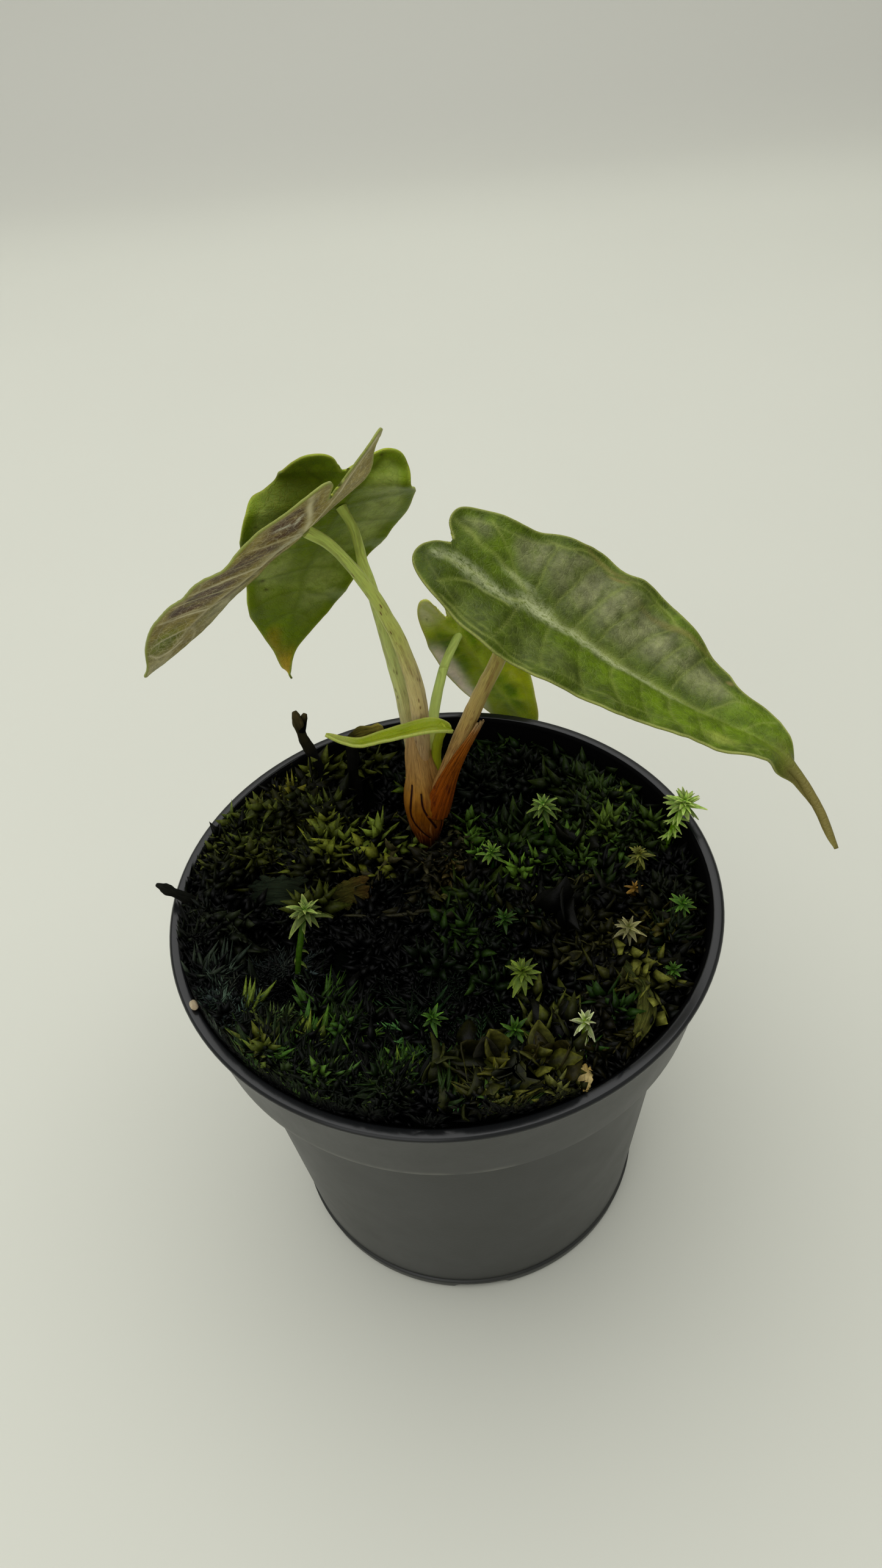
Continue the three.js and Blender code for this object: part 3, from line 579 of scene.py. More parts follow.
class Graph:
    """Short calls that add nodes to a material or group and join them.

    A value is a number, a vector, a colour in hexadecimal digits or another node's socket.
    """

    def __init__(self, tree: bpy.types.NodeTree) -> None:
        """Keeps the tree that the nodes go to."""
        self.tree = tree

    def feed(self, node: bpy.types.Node, values: dict[str | int, object]) -> None:
        """Gives a node's inputs their values.

        Args:
            node: the node.
            values: a value for each input, by its name or number.
        """
        for name, value in values.items():
            if isinstance(value, Socket):
                self.tree.links.new(value, node.inputs[name])
            else:
                node.inputs[name].default_value = hex_colour(value) if isinstance(value, str) else value

    def node(self, kind: str, values: dict[str | int, object], **settings: object) -> bpy.types.Node:
        """Adds a node.

        Args:
            kind: the node's type without the "ShaderNode" in front.
            values: its inputs.
            settings: its own options.

        Returns:
            The new node.
        """
        made = self.tree.nodes.new("ShaderNode" + kind)
        for name, value in settings.items():
            setattr(made, name, value)
        self.feed(made, values)
        return made

    def math(self, operation: str, *values: object) -> Socket:
        """A Math node's result."""
        return self.node("Math", dict(enumerate(values)), operation=operation).outputs[0]

    def times(self, first: object, second: object) -> Socket:
        """The product of two numbers."""
        return self.math("MULTIPLY", first, second)

    def inverse(self, value: object) -> Socket:
        """What is left of 1."""
        return self.math("SUBTRACT", 1.0, value)

    def mix(self, share: object, first: object, second: object, blend: str = "MIX") -> Socket:
        """Two colours mixed by a share."""
        values = {0: share, 6: first, 7: second}
        return self.node("Mix", values, data_type="RGBA", blend_type=blend, clamp_factor=True).outputs[2]

    def band(self, value: object, low: float, high: float, top: float = 1.0) -> Socket:
        """A smooth rise from 0 at low to top at high."""
        values = {"Value": value, "From Min": low, "From Max": high, "To Max": top}
        return self.node("MapRange", values, interpolation_type="SMOOTHSTEP").outputs[0]

    def noise(self, vector: object, scale: float, detail: float = 3.0, rough: float = 0.55) -> Socket:
        """A noise texture's value."""
        values = {"Vector": vector, "Scale": scale, "Detail": detail, "Roughness": rough}
        return self.node("TexNoise", values).outputs[0]

    def cells(self, vector: object, scale: float, feature: str = "DISTANCE_TO_EDGE") -> Socket:
        """A Voronoi texture's distance."""
        values = {"Vector": vector, "Scale": scale}
        return self.node("TexVoronoi", values, feature=feature).outputs["Distance"]

    def stretched(self, vector: object, scale: Point) -> Socket:
        """A vector scaled by its own amount along each axis."""
        return self.node("Mapping", {"Vector": vector, "Scale": scale}).outputs[0]

    def ramp(self, value: object, stops: Stops) -> Socket:
        """A colour that changes through stops.

        Args:
            value: the number that runs through the ramp.
            stops: each a share and a daylight colour.

        Returns:
            The colour's socket.
        """
        made = self.node("ValToRGB", {0: value})
        elements = made.color_ramp.elements
        while len(elements) < len(stops):
            elements.new(0.5)
        for element, (share, code) in zip(elements, stops):
            element.position, element.color = share, hex_colour(code)
        return made.outputs[0]

    def object_place(self) -> Socket:
        """The piece's own coordinates in metres."""
        return self.node("TexCoord", {}).outputs["Object"]

    def axis(self, number: int) -> Socket:
        """One of the piece's own coordinates in metres, by its number."""
        return self.node("SeparateXYZ", {0: self.object_place()}).outputs[number]

    def flat_place(self) -> Socket:
        """The piece's flat pattern coordinates."""
        return self.node("UVMap", {}, uv_map="UVMap").outputs[0]

    def stored(self, name: str) -> bpy.types.Node:
        """The node that reads a stored colour."""
        return self.node("Attribute", {}, attribute_name=name)

    def parts(self, name: str) -> bpy.types.NodeOutputs:
        """A stored colour's red, green and blue."""
        return self.node("SeparateColor", {0: self.stored(name).outputs["Color"]}).outputs

    def bump(self, height: object, depth: float) -> Socket:
        """A normal from a height, where 1 is a number of millimetres deep."""
        return self.node("Bump", {"Height": height, "Distance": depth * MM, "Strength": 1.0}).outputs[0]


class Skin(Graph):
    """A material with a plain shader, and the calls that add to it."""

    def __init__(self, name: str, **surface: object) -> None:
        """Makes the material.

        Args:
            name: the material's name.
            surface: the shader's sockets, with _ for each space, that are the same all over.
        """
        self.material = bpy.data.materials.new(name)
        self.material.use_nodes = True
        super().__init__(self.material.node_tree)
        self.shader = self.tree.nodes["Principled BSDF"]
        self.feed(self.shader, {socket.replace("_", " "): value for socket, value in surface.items()})

    def dressed(self, colour: Socket, height: Socket, depth: float) -> Material:
        """The finished material, with its colour and its relief in millimetres."""
        self.feed(self.shader, {"Base Color": colour, "Normal": self.bump(height, depth)})
        return self.material


Sockets = dict[str, str]


def new_group(
    name: str, inputs: Sockets, outputs: Sockets
) -> tuple[Graph, bpy.types.NodeOutputs, bpy.types.Node]:
    """A shared node group with named sockets.

    Args:
        name: the group's name.
        inputs: its inputs' names and kinds.
        outputs: its outputs' names and kinds.

    Returns:
        The calls that add to it, what comes in, and the node that takes what goes out.
    """
    tree = bpy.data.node_groups.new(name, "ShaderNodeTree")
    for side, sockets in (("INPUT", inputs), ("OUTPUT", outputs)):
        for socket, kind in sockets.items():
            tree.interface.new_socket(name=socket, in_out=side, socket_type="NodeSocket" + kind)
    return Graph(tree), tree.nodes.new("NodeGroupInput").outputs, tree.nodes.new("NodeGroupOutput")


def skin_net() -> bpy.types.NodeTree:
    """The fine net of veins and the mottling that every blade has.

    Returns:
        The group.
    """
    inputs = {"Place": "Vector", "Colour": "Color", "Vein": "Color", "Net": "Float", "Mottle": "Float"}
    graph, come, go = new_group("skin_net", inputs, {"Colour": "Color", "Height": "Float"})
    place = come["Place"]
    wander = graph.node("TexNoise", {"Vector": place, "Scale": 55.0, "Detail": 2.0}).outputs["Color"]
    bent = graph.node("MixRGB", {0: 0.012, 1: place, 2: wander}).outputs[0]
    line = graph.inverse(graph.band(graph.cells(bent, 75.0), 0.0, 0.09))
    fine = graph.inverse(graph.band(graph.cells(bent, 210.0), 0.0, 0.16))
    both = graph.math("MAXIMUM", line, graph.times(fine, 0.45))
    netted = graph.mix(graph.times(both, come["Net"]), come["Colour"], come["Vein"])
    blotch = graph.noise(place, 38.0, 5.0, 0.7)
    shade = graph.mix(graph.band(blotch, 0.3, 0.7), (0.62, 0.62, 0.62, 1), (1.3, 1.3, 1.3, 1))
    mottled = graph.mix(come["Mottle"], netted, graph.mix(1.0, netted, shade, "MULTIPLY"))
    height = graph.math("SUBTRACT", graph.noise(place, 260.0, 3.0), graph.times(both, 0.5))
    graph.feed(go, {"Colour": mottled, "Height": height})
    return graph.tree


def plant_fibres() -> bpy.types.NodeTree:
    """Streaks along a stalk and the dark specks on it. The place's Y runs along the stalk.

    Returns:
        The group.
    """
    inputs = {"Place": "Vector", "Colour": "Color", "Dark": "Color", "Streaks": "Float", "Specks": "Float"}
    graph, come, go = new_group("plant_fibres", inputs, {"Colour": "Color", "Height": "Float"})
    place, dark = come["Place"], come["Dark"]
    long = graph.noise(graph.stretched(place, (4.5, 0.35, 1.0)), 3.0, 5.0, 0.75)
    thin = graph.noise(graph.stretched(place, (34.0, 1.1, 1.0)), 3.0, 3.0, 0.6)
    streak = graph.times(graph.math("ADD", graph.band(long, 0.5, 0.66), graph.band(thin, 0.5, 0.7)), 0.55)
    lined = graph.mix(graph.times(streak, come["Streaks"]), come["Colour"], dark)
    dots = graph.cells(graph.stretched(place, (3.2, 1.0, 1.0)), 4.2, "F1")
    spot = graph.inverse(graph.band(dots, 0.1, 0.26))
    rare = graph.band(graph.noise(graph.stretched(place, (1.2, 0.5, 1.0)), 2.6, 2.0), 0.44, 0.56)
    dotted = graph.mix(graph.times(graph.times(spot, rare), come["Specks"]), lined, dark)
    graph.feed(go, {"Colour": dotted, "Height": graph.math("SUBTRACT", thin, streak)})
    return graph.tree


@dataclass(frozen=True)
class Shared:
    """The shader groups that several materials use."""

    net: bpy.types.NodeTree = field(default_factory=skin_net)
    fibres: bpy.types.NodeTree = field(default_factory=plant_fibres)


@dataclass(frozen=True)
class BladeFinish:
    """One side of a blade, by the colours of its parts."""

    name: str
    deep: str
    bright: str
    patch: str
    rib: str
    frost_and_sheen: str
    margin: str
    stain: str
    pale: str
    net: float = 0.25
    mottle: float = 0.5
    roughness: float = 0.42
    glow: float = 0.0

    def material(self, shared: Shared) -> Material:
        """The side's material, which reads "marks", "tone" and the flat pattern.

        Args:
            shared: the groups that it uses.

        Returns:
            The material.
        """
        skin = Skin(
            self.name, Roughness=self.roughness, Subsurface_Weight=self.glow, Subsurface_Scale=0.6 * MM,
            Specular_IOR_Level=0.11,
        )
        place = skin.flat_place()
        rib, patch, margin = skin.parts("marks")
        bright, stain, pale = skin.parts("tone")
        cloud = skin.noise(skin.stretched(place, (1.6, 1.0, 1.0)), 21.0, 6.0, 0.72)
        colour = skin.mix(bright, self.deep, self.bright)
        colour = skin.mix(skin.times(patch, skin.band(cloud, 0.22, 0.56)), colour, self.patch)
        colour = skin.mix(pale, colour, self.pale)
        values = {"Place": place, "Colour": colour, "Vein": self.rib, "Net": self.net, "Mottle": self.mottle}
        netted = skin.node("Group", values, node_tree=shared.net)
        colour = skin.mix(skin.times(rib, skin.band(cloud, 0.1, 0.4)), netted.outputs[0], self.rib)
        flecks = skin.noise(skin.stretched(place, (1.0, 1.6, 1.0)), 110.0, 5.0, 0.75)
        # Painted sheen in part: pale flecks where the frost marks lie.
        frosted_and_sheen = skin.times(skin.stored("marks").outputs["Alpha"], skin.band(flecks, 0.34, 0.56))
        for share, code in ((frosted_and_sheen, self.frost_and_sheen), (margin, self.margin), (stain, self.stain)):
            colour = skin.mix(share, colour, code)
        return skin.dressed(colour, netted.outputs[1], 0.09)


@dataclass(frozen=True)
class StalkFinish:
    """A stalk or twig: its colour along its length, its fibres and its specks."""

    name: str
    stops: Stops
    dark: str
    streaks: float = 0.5
    specks: float = 0.6
    roughness: float = 0.42
    relief: float = 0.1
    sheen: float = 0.3

    def material(self, shared: Shared) -> Material:
        """The stalk's material. Its pattern's X is centimetres round and its Y centimetres along.

        Args:
            shared: the groups that it uses.

        Returns:
            The material.
        """
        skin = Skin(
            self.name, Roughness=self.roughness, Subsurface_Weight=0.12, Subsurface_Scale=0.5 * MM,
            Specular_IOR_Level=self.sheen,
        )
        base = skin.ramp(skin.parts("along")[0], self.stops)
        colour, height = fibred(skin, shared, base, self.dark, self.streaks, self.specks)
        return skin.dressed(colour, height, self.relief)


def fibred(
    skin: Skin, shared: Shared, base: Socket, dark: str, streaks: float, specks: float
) -> tuple[Socket, Socket]:
    """Adds the shared fibres to a skin.

    Args:
        skin: the skin.
        shared: the groups that it uses.
        base: its colour so far.
        dark: the colour of the streaks and specks.
        streaks: how strong the streaks are.
        specks: how strong the specks are.

    Returns:
        The streaked colour and the height of its relief.
    """
    values = {"Place": skin.flat_place(), "Colour": base, "Dark": dark, "Streaks": streaks, "Specks": specks}
    fibres = skin.node("Group", values, node_tree=shared.fibres).outputs
    return fibres[0], fibres[1]


@dataclass(frozen=True)
class TintFinish:
    """Moss and shoots: the colour stored in each point, broken up by fine noise."""

    name: str
    roughness: float = 0.5
    dapple: float = 0.5
    glow: float = 0.0
    sheen: float = 0.12

    def material(self) -> Material:
        """The material, which reads "tint".

        Returns:
            The material.
        """
        skin = Skin(
            self.name, Roughness=self.roughness, Subsurface_Weight=self.glow, Subsurface_Scale=0.4 * MM,
            Specular_IOR_Level=self.sheen,
        )
        tint = skin.stored("tint").outputs["Color"]
        fine = skin.noise(skin.object_place(), 1500.0, 3.0, 0.6)
        shade = skin.mix(skin.band(fine, 0.35, 0.65), (0.5, 0.5, 0.5, 1), (1.4, 1.4, 1.4, 1))
        return skin.dressed(skin.mix(self.dapple, tint, skin.mix(1.0, tint, shade, "MULTIPLY")), fine, 0.06)


# Leaf blades


class Mark(Enum):
    """What a soft spot on a blade adds to: its column in the blade's stored numbers."""

    PATCH = 1
    # Frost is pale flecks, partly the blade's own frosting and partly painted sheen along the midrib.
    FROST_AND_SHEEN = 3
    BRIGHT = 4
    STAIN = 5
    PALE = 6


PATCH, FROST_AND_SHEEN, BRIGHT, STAIN, PALE = Mark


@dataclass(frozen=True)
class Blade:
    """A leaf blade: the curved surface of its solid, with the margin, veins and quilting of the real one.

    Along is measured on the midrib from the stalk, and across is positive on the left half,
    seen from above with the tip ahead.
    """

    name: str
    slot: str
    midrib: tuple[Point, ...]
    roll: float
    roll_per_mm: float
    fold: float
    wave: float
    left_half: tuple[Pair, ...]
    right_half: tuple[Pair, ...]
    veins: tuple[tuple[float, float, float], ...]
    ribs: tuple[tuple[float, tuple[Pair, ...]], ...]
    spots: dict[Mark, tuple[tuple[float, ...], ...]]
    rows: int = 190
    half_columns: int = 36
    thickness: float = 0.34
    quilting: float = 0.32
    midrib_width: float = 0.75
    midrib_strength: float = 0.9
    vein_width: float = 0.16
    vein_strength: float = 0.42
    rib_strength: float = 0.7
    margin_width: float = 0.3
    tip_roll: Pair = (98.0, 99.0)

    def surface(self, along: Array, across: Array) -> tuple[Array, Array]:
        """The blade's middle surface.

        Args:
            along: how far each point is along the midrib.
            across: how far each point is across it.

        Returns:
            The points and the blade's own up direction at each.
        """
        track = Track(self.midrib)
        distance = np.clip(along + track.lengths[Track.STEPS_A_SPAN], 0, track.length)
        beyond = along + track.lengths[Track.STEPS_A_SPAN] - distance
        tangent = track.tangent(distance)
        level = unit(np.cross([0.0, 0.0, 1.0], tangent))
        over = np.cross(tangent, level)
        turn = np.radians(self.roll + self.roll_per_mm * along)[:, None]
        side = level * np.cos(turn) + over * np.sin(turn)
        up = over * np.cos(turn) - level * np.sin(turn)
        reach = np.abs(across)
        curl = soft_step(self.tip_roll[0], self.tip_roll[1], along)
        phase = np.where(across > 0, 0.8, 2.6)
        ripple = self.wave * np.minimum(reach / 6, 1.6) * np.sin(0.62 * along + phase) * (1 - curl)
        angle = curl * 2.6 * np.sign(across) * np.minimum(reach / 1.2, 1.0)
        rolled, safe = np.abs(angle) > 1e-3, np.where(angle == 0, 1, angle)
        bow = reach * np.where(rolled, np.sin(angle) / safe, 1.0)
        lift = reach * np.where(rolled, (1 - np.cos(angle)) / np.abs(safe), 0.0)
        points = track.at(distance) + tangent * beyond[:, None]
        points += side * (np.sign(across) * np.abs(bow))[:, None]
        points += up * (self.fold * reach * (1 - curl) + ripple - lift)[:, None]
        return points, unit(up - side * (self.fold * np.clip(across, -1, 1))[:, None])

    def flat(self, share_across: Array, share_along: Array) -> tuple[Array, Array]:
        """Where each point of the grid lies on the flat blade.

        Args:
            share_across: its share of the grid's width.
            share_along: its share of the grid's length.

        Returns:
            How far along and how far across the midrib it lies.
        """
        notch, tip = self.left_half[0][0], self.left_half[-1][0]
        middle = notch + (tip - notch) * share_along
        out = 2 * share_across - 1
        along, across = np.zeros_like(out), np.zeros_like(out)
        for half, sign in ((self.left_half, 1), (self.right_half, -1)):
            line = Track(half, held=True, divisions=200)
            edge = line.at(share_along * line.length)
            chosen = out * sign >= 0
            along = np.where(chosen, middle + (edge[:, 0] - middle) * np.abs(out), along)
            across = np.where(chosen, sign * np.abs(out) * edge[:, 1], across)
        return along, across

    def _lines(self) -> list[tuple[float, float, Array]]:
        """Every vein.

        Returns:
            The width, the strength and the points of each.
        """
        tip = self.left_half[-1][0]
        spine = np.array([[share * 0.9 * tip, 0.0] for share in np.linspace(0, 1, 12)])
        lines = [(self.midrib_width, self.midrib_strength, spine)]
        for width, points in self.ribs:
            lines.append((width, self.rib_strength, Track(points).evenly(16)))
        for start, end, width in self.veins:
            reach = end - start
            bow = [(start, 0.0), (start + 0.22 * reach, 0.42 * width), (start + 0.55 * reach, 0.78 * width)]
            lines.append((self.vein_width, self.vein_strength, Track([*bow, (end, width)]).evenly(12)))
        return lines

    def numbers(self, along: Array, across: Array) -> Array:
        """What the materials and the relief read at each point.

        Args:
            along: how far each point is along the midrib.
            across: how far each point is across it.

        Returns:
            Columns: rib, patch, margin, pale flecks with painted sheen, bright, stain, pale and height.
        """
        flat = np.stack([along, across], axis=1)
        grain = Grain(len(self.name) * 7 + int(self.roll))
        result = np.zeros((len(flat), 8))
        sunk = np.zeros(len(flat))
        wobble = flat + 0.35 * np.stack([grain.at(flat, 3.1), grain.at(flat + 40, 2.3)], axis=1)
        for width, strength, line in self._lines():
            distance = near_line(wobble, line)
            fade = 1 - 0.6 * soft_step(0, 1, (flat[:, 0] - line[0, 0]) / 45)
            drawn = strength * fade * np.exp(-((distance / (width * fade)) ** 2))
            result[:, 0] = np.maximum(result[:, 0], drawn)
            sunk = np.maximum(sunk, (0.5 + 0.5 * strength) * np.exp(-((distance / (0.55 + width)) ** 2)))
        edge = np.full(len(flat), 1e9)
        for half, sign in ((self.left_half, 1), (self.right_half, -1)):
            border = Track(half, held=True, divisions=200).evenly(120) * np.array([1, sign])
            edge = np.minimum(edge, near_line(flat, border))
        wander = edge + 0.35 * grain.at(flat, 4.0)
        inner = np.exp(-(((wander - 1.9) / 0.15) ** 2)) * (np.abs(across) > 2.5)
        result[:, 0] = np.maximum(result[:, 0], 0.26 * inner)
        result[:, 2] = np.exp(-((edge / self.margin_width) ** 2))
        for mark, spots in self.spots.items():
            for middle, side, long, wide, strength in spots:
                away = ((wobble[:, 0] - middle) / long) ** 2 + ((wobble[:, 1] - side) / wide) ** 2
                result[:, mark.value] += strength * np.exp(-(away**1.6))
        broken = 0.55 + 0.45 * soft_step(-0.4, 0.4, grain.at(flat + 90, 2.6))
        result[:, 0] *= broken
        keep = soft_step(0.8, 2.4, edge)
        result[:, PATCH.value] *= (1 - 0.8 * sunk) * keep
        bulge = (1 - sunk) * keep * (1 + 0.35 * grain.at(flat, 3.0))
        result[:, 7] = self.quilting * (bulge - 0.5) + 0.05 * grain.at(flat, 0.9)
        return result

    def build(self, upper: Material, under: Material, nodes: Sequence[str]) -> None:
        """Builds the blade as a closed sheet with one material for each side.

        Args:
            upper: the upper side's material.
            under: the under side's material.
            nodes: the solids that it stands for.
        """
        grid = Grid(self.name, 2 * self.half_columns, self.rows)
        along, across = self.flat(grid.across, grid.along)
        points, up = self.surface(along, across)
        marks = self.numbers(along, across)
        piece = grid.laid(points + up * marks[:, 7:8], np.stack([along, across], axis=1) / 100)
        put_colour(piece, "marks", marks[:, :4])
        put_colour(piece, "tone", np.pad(marks[:, 4:7], ((0, 0), (0, 1)), constant_values=1))
        with editing(piece):
            bpy.ops.mesh.remove_doubles(threshold=0.004 * MM)
            bpy.ops.mesh.flip_normals()
        piece.data.materials.append(upper)
        piece.data.materials.append(under)
        self._face_up(piece)
        thicken(piece, self.thickness, material_offset=1, use_rim=True, use_even_offset=False)
        smooth(piece)
        settle(piece, self.slot, nodes, [upper, under])

    def _face_up(self, piece: Piece) -> None:
        """Turns the sheet over if its faces look down the blade's own up direction.

        Args:
            piece: the sheet.
        """
        middle = np.array([self.left_half[-1][0] * 0.4])
        _, up = self.surface(middle, np.array([3.0]))
        normals = np.array([face.normal for face in piece.data.polygons])
        if float((normals @ up[0]).mean()) < 0:
            with editing(piece):
                bpy.ops.mesh.flip_normals()


LEFT_BLADE = Blade(
    name="blade_left",
    slot="leaf_underside",
    midrib=(
        (-9.4, 12.3, 143.0), (-14.2, 16.5, 135.3), (-19.3, 19.5, 130.3), (-24.5, 22.1, 124.9),
        (-29.5, 24.1, 120.5), (-34.3, 25.8, 116.0), (-38.6, 27.0, 111.1), (-42.5, 28.0, 106.5),
        (-45.7, 28.5, 103.5),
    ),
    roll=5.6,
    roll_per_mm=0.7,
    fold=0.13,
    wave=0.05,
    left_half=(
        (-9, 0.4), (-14, 2.2), (-16.5, 5), (-15.4, 7.6), (-11, 10), (-4.6, 12), (3.7, 13.5), (11.7, 13.1),
        (19.6, 11.4), (28, 9), (35, 6.6), (41, 3.4), (45, 1), (46.6, 0.3),
    ),
    right_half=(
        (-9, 0.4), (-15.4, 2.2), (-18.6, 4.6), (-17.6, 7.2), (-11.7, 9.4), (-4.6, 11.2), (3.7, 12.6),
        (11.7, 12.4), (19.6, 11.2), (28, 10), (35, 7.6), (41, 3), (45, 0.8), (46.6, 0.3),
    ),
    veins=(
        (0, -1, 11), (6, 9, 12.4), (12, 15.5, 11.8), (18, 22.5, 9.8), (25, 29, 7.8), (32, 37, 4.4),
        (0, -1, -10.4), (6, 9, -11.6), (12, 16, -11.2), (18, 23, -9.8), (25, 30, -8.4), (32, 38, -4.8),
    ),
    ribs=(
        (0.5, ((0, 0), (-6, 2.2), (-12, 5.2), (-14.5, 6.6))),
        (0.5, ((0, 0), (-6, -2.0), (-13, -4.8), (-16.5, -6.0))),
        (0.45, ((12, 0), (13, 5), (15.5, 10.6))),
        (0.45, ((26, -2), (27, 3), (29, 7.6))),
        (0.3, ((39.5, 3.5), (40.2, 1.8), (39, 0.4), (36.5, -1.4))),
    ),
    spots={
        PATCH: (
            (6, 8, 6, 5, 1.5), (19, 6.5, 6, 5, 1.5), (-6, 5, 6, 4, 1.5), (25, 6, 3.5, 3.5, 1.4),
            (6, -6, 6, 4, 1.4), (19, -5, 7, 3.6, 1.4),
        ),
        FROST_AND_SHEEN: ((-5.5, 3.8, 1.7, 0.5, 0.9), (-4.6, 6, 0.5, 2.0, 0.9), (3, 1.2, 6, 0.9, 0.6)),
        BRIGHT: ((36, 2.8, 4.6, 2.6, 1), (20, 6, 4, 3, 0.5), (30, -4, 4, 2.5, 0.4)),
        PALE: ((44, 0.5, 5, 2.6, 0.8), (30, -7, 8, 2.4, 0.7), (-16, -5, 3, 3, 0.7)),
    },
    quilting=0.14,
    vein_width=0.24,
    vein_strength=0.8,
    rib_strength=1.0,
)

BACK_BLADE = Blade(
    name="blade_back",
    slot="leaf_back",
    midrib=(
        (-8.8, 30.7, 136.0), (-10.0, 33.2, 128.9), (-15.2, 37.6, 119.2), (-18.2, 39.6, 113.2),
        (-20.1, 41.4, 107.4), (-22.0, 42.8, 102.4), (-24.1, 44.6, 94.8), (-24.8, 45.7, 89.1),
        (-24.6, 46.2, 86.9),
    ),
    roll=22,
    roll_per_mm=0.43,
    fold=0.05,
    wave=0.15,
    left_half=(
        (-7.9, 0.4), (-10.5, 1.6), (-11.4, 3.8), (-10.6, 6.4), (-7.5, 9.1), (-5, 10.2), (-3.4, 11.9),
        (-2.3, 13.9), (0.2, 15.1), (4, 15.4), (7.5, 14.8), (10.5, 13.6), (15, 11.4), (22, 9.1), (26, 8.8),
        (29, 7.9), (33, 5.8), (36, 4.2), (40, 2.3), (44, 1.4), (47.4, 0.3),
    ),
    right_half=(
        (-7.9, 0.4), (-9.4, 2.4), (-11.2, 5.8), (-10.3, 8.5), (-7.5, 9.9), (-4.4, 10.2), (-2.3, 11.2),
        (0, 12.9), (4, 14.1), (8, 14.5), (12, 13.5), (15.7, 14.0), (18, 12.2), (20.5, 10.0), (23.2, 8.5),
        (27, 8.4), (29.5, 7.4), (32, 5.6), (35, 3.9), (39, 1.9), (42, 1.1), (47.4, 0.3),
    ),
    veins=(
        (0, -1, 13), (5, 7, 13.6), (11, 14, 10.8), (17, 21, 8.2), (23, 27, 7.4), (29, 33, 4.8),
        (0, -1, -11), (5, 7, -12.8), (11, 14, -12.2), (17, 21, -8.4), (23, 27, -7.2), (29, 33, -4.2),
    ),
    ribs=(
        (0.4, ((0, 0), (-4, 2.2), (-8, 5.2), (-10, 6.4))),
        (0.4, ((0, 0), (-4, -2.0), (-8, -4.4), (-10.2, -6.0))),
    ),
    spots={
        PATCH: (
            (-4, -6, 6, 5, 0.6), (5, -9, 9, 5, 0.9), (22, -3, 9, 5, 0.8), (18, 6, 8, 3.4, 0.6),
            (5, 12, 9, 3.6, 0.8), (16, 8, 8, 3.4, 0.7),
        ),
        BRIGHT: ((33, 1, 6, 3, 0.7),),
        # The first, broad stain darkens the upper left lobe as painted shade; the small ones are the blade's
        # own spots.
        STAIN: (
            (-3, 8, 9, 6, 0.5), (5.6, 12.7, 0.7, 0.4, 0.8), (20, 6.7, 0.6, 0.45, 0.8),
            (22.8, 5.8, 0.4, 0.4, 0.8), (-10.3, -5.4, 0.4, 0.25, 0.9), (3.5, 13.2, 0.3, 0.25, 0.7),
            (47.6, 0, 1.0, 1.0, 0.6),
        ),
        PALE: ((46, 0, 6.5, 3, 1.0), (37, 2.6, 4, 1.6, 0.5)),
    },
    quilting=0.22,
    midrib_width=0.35,
    midrib_strength=0.5,
)

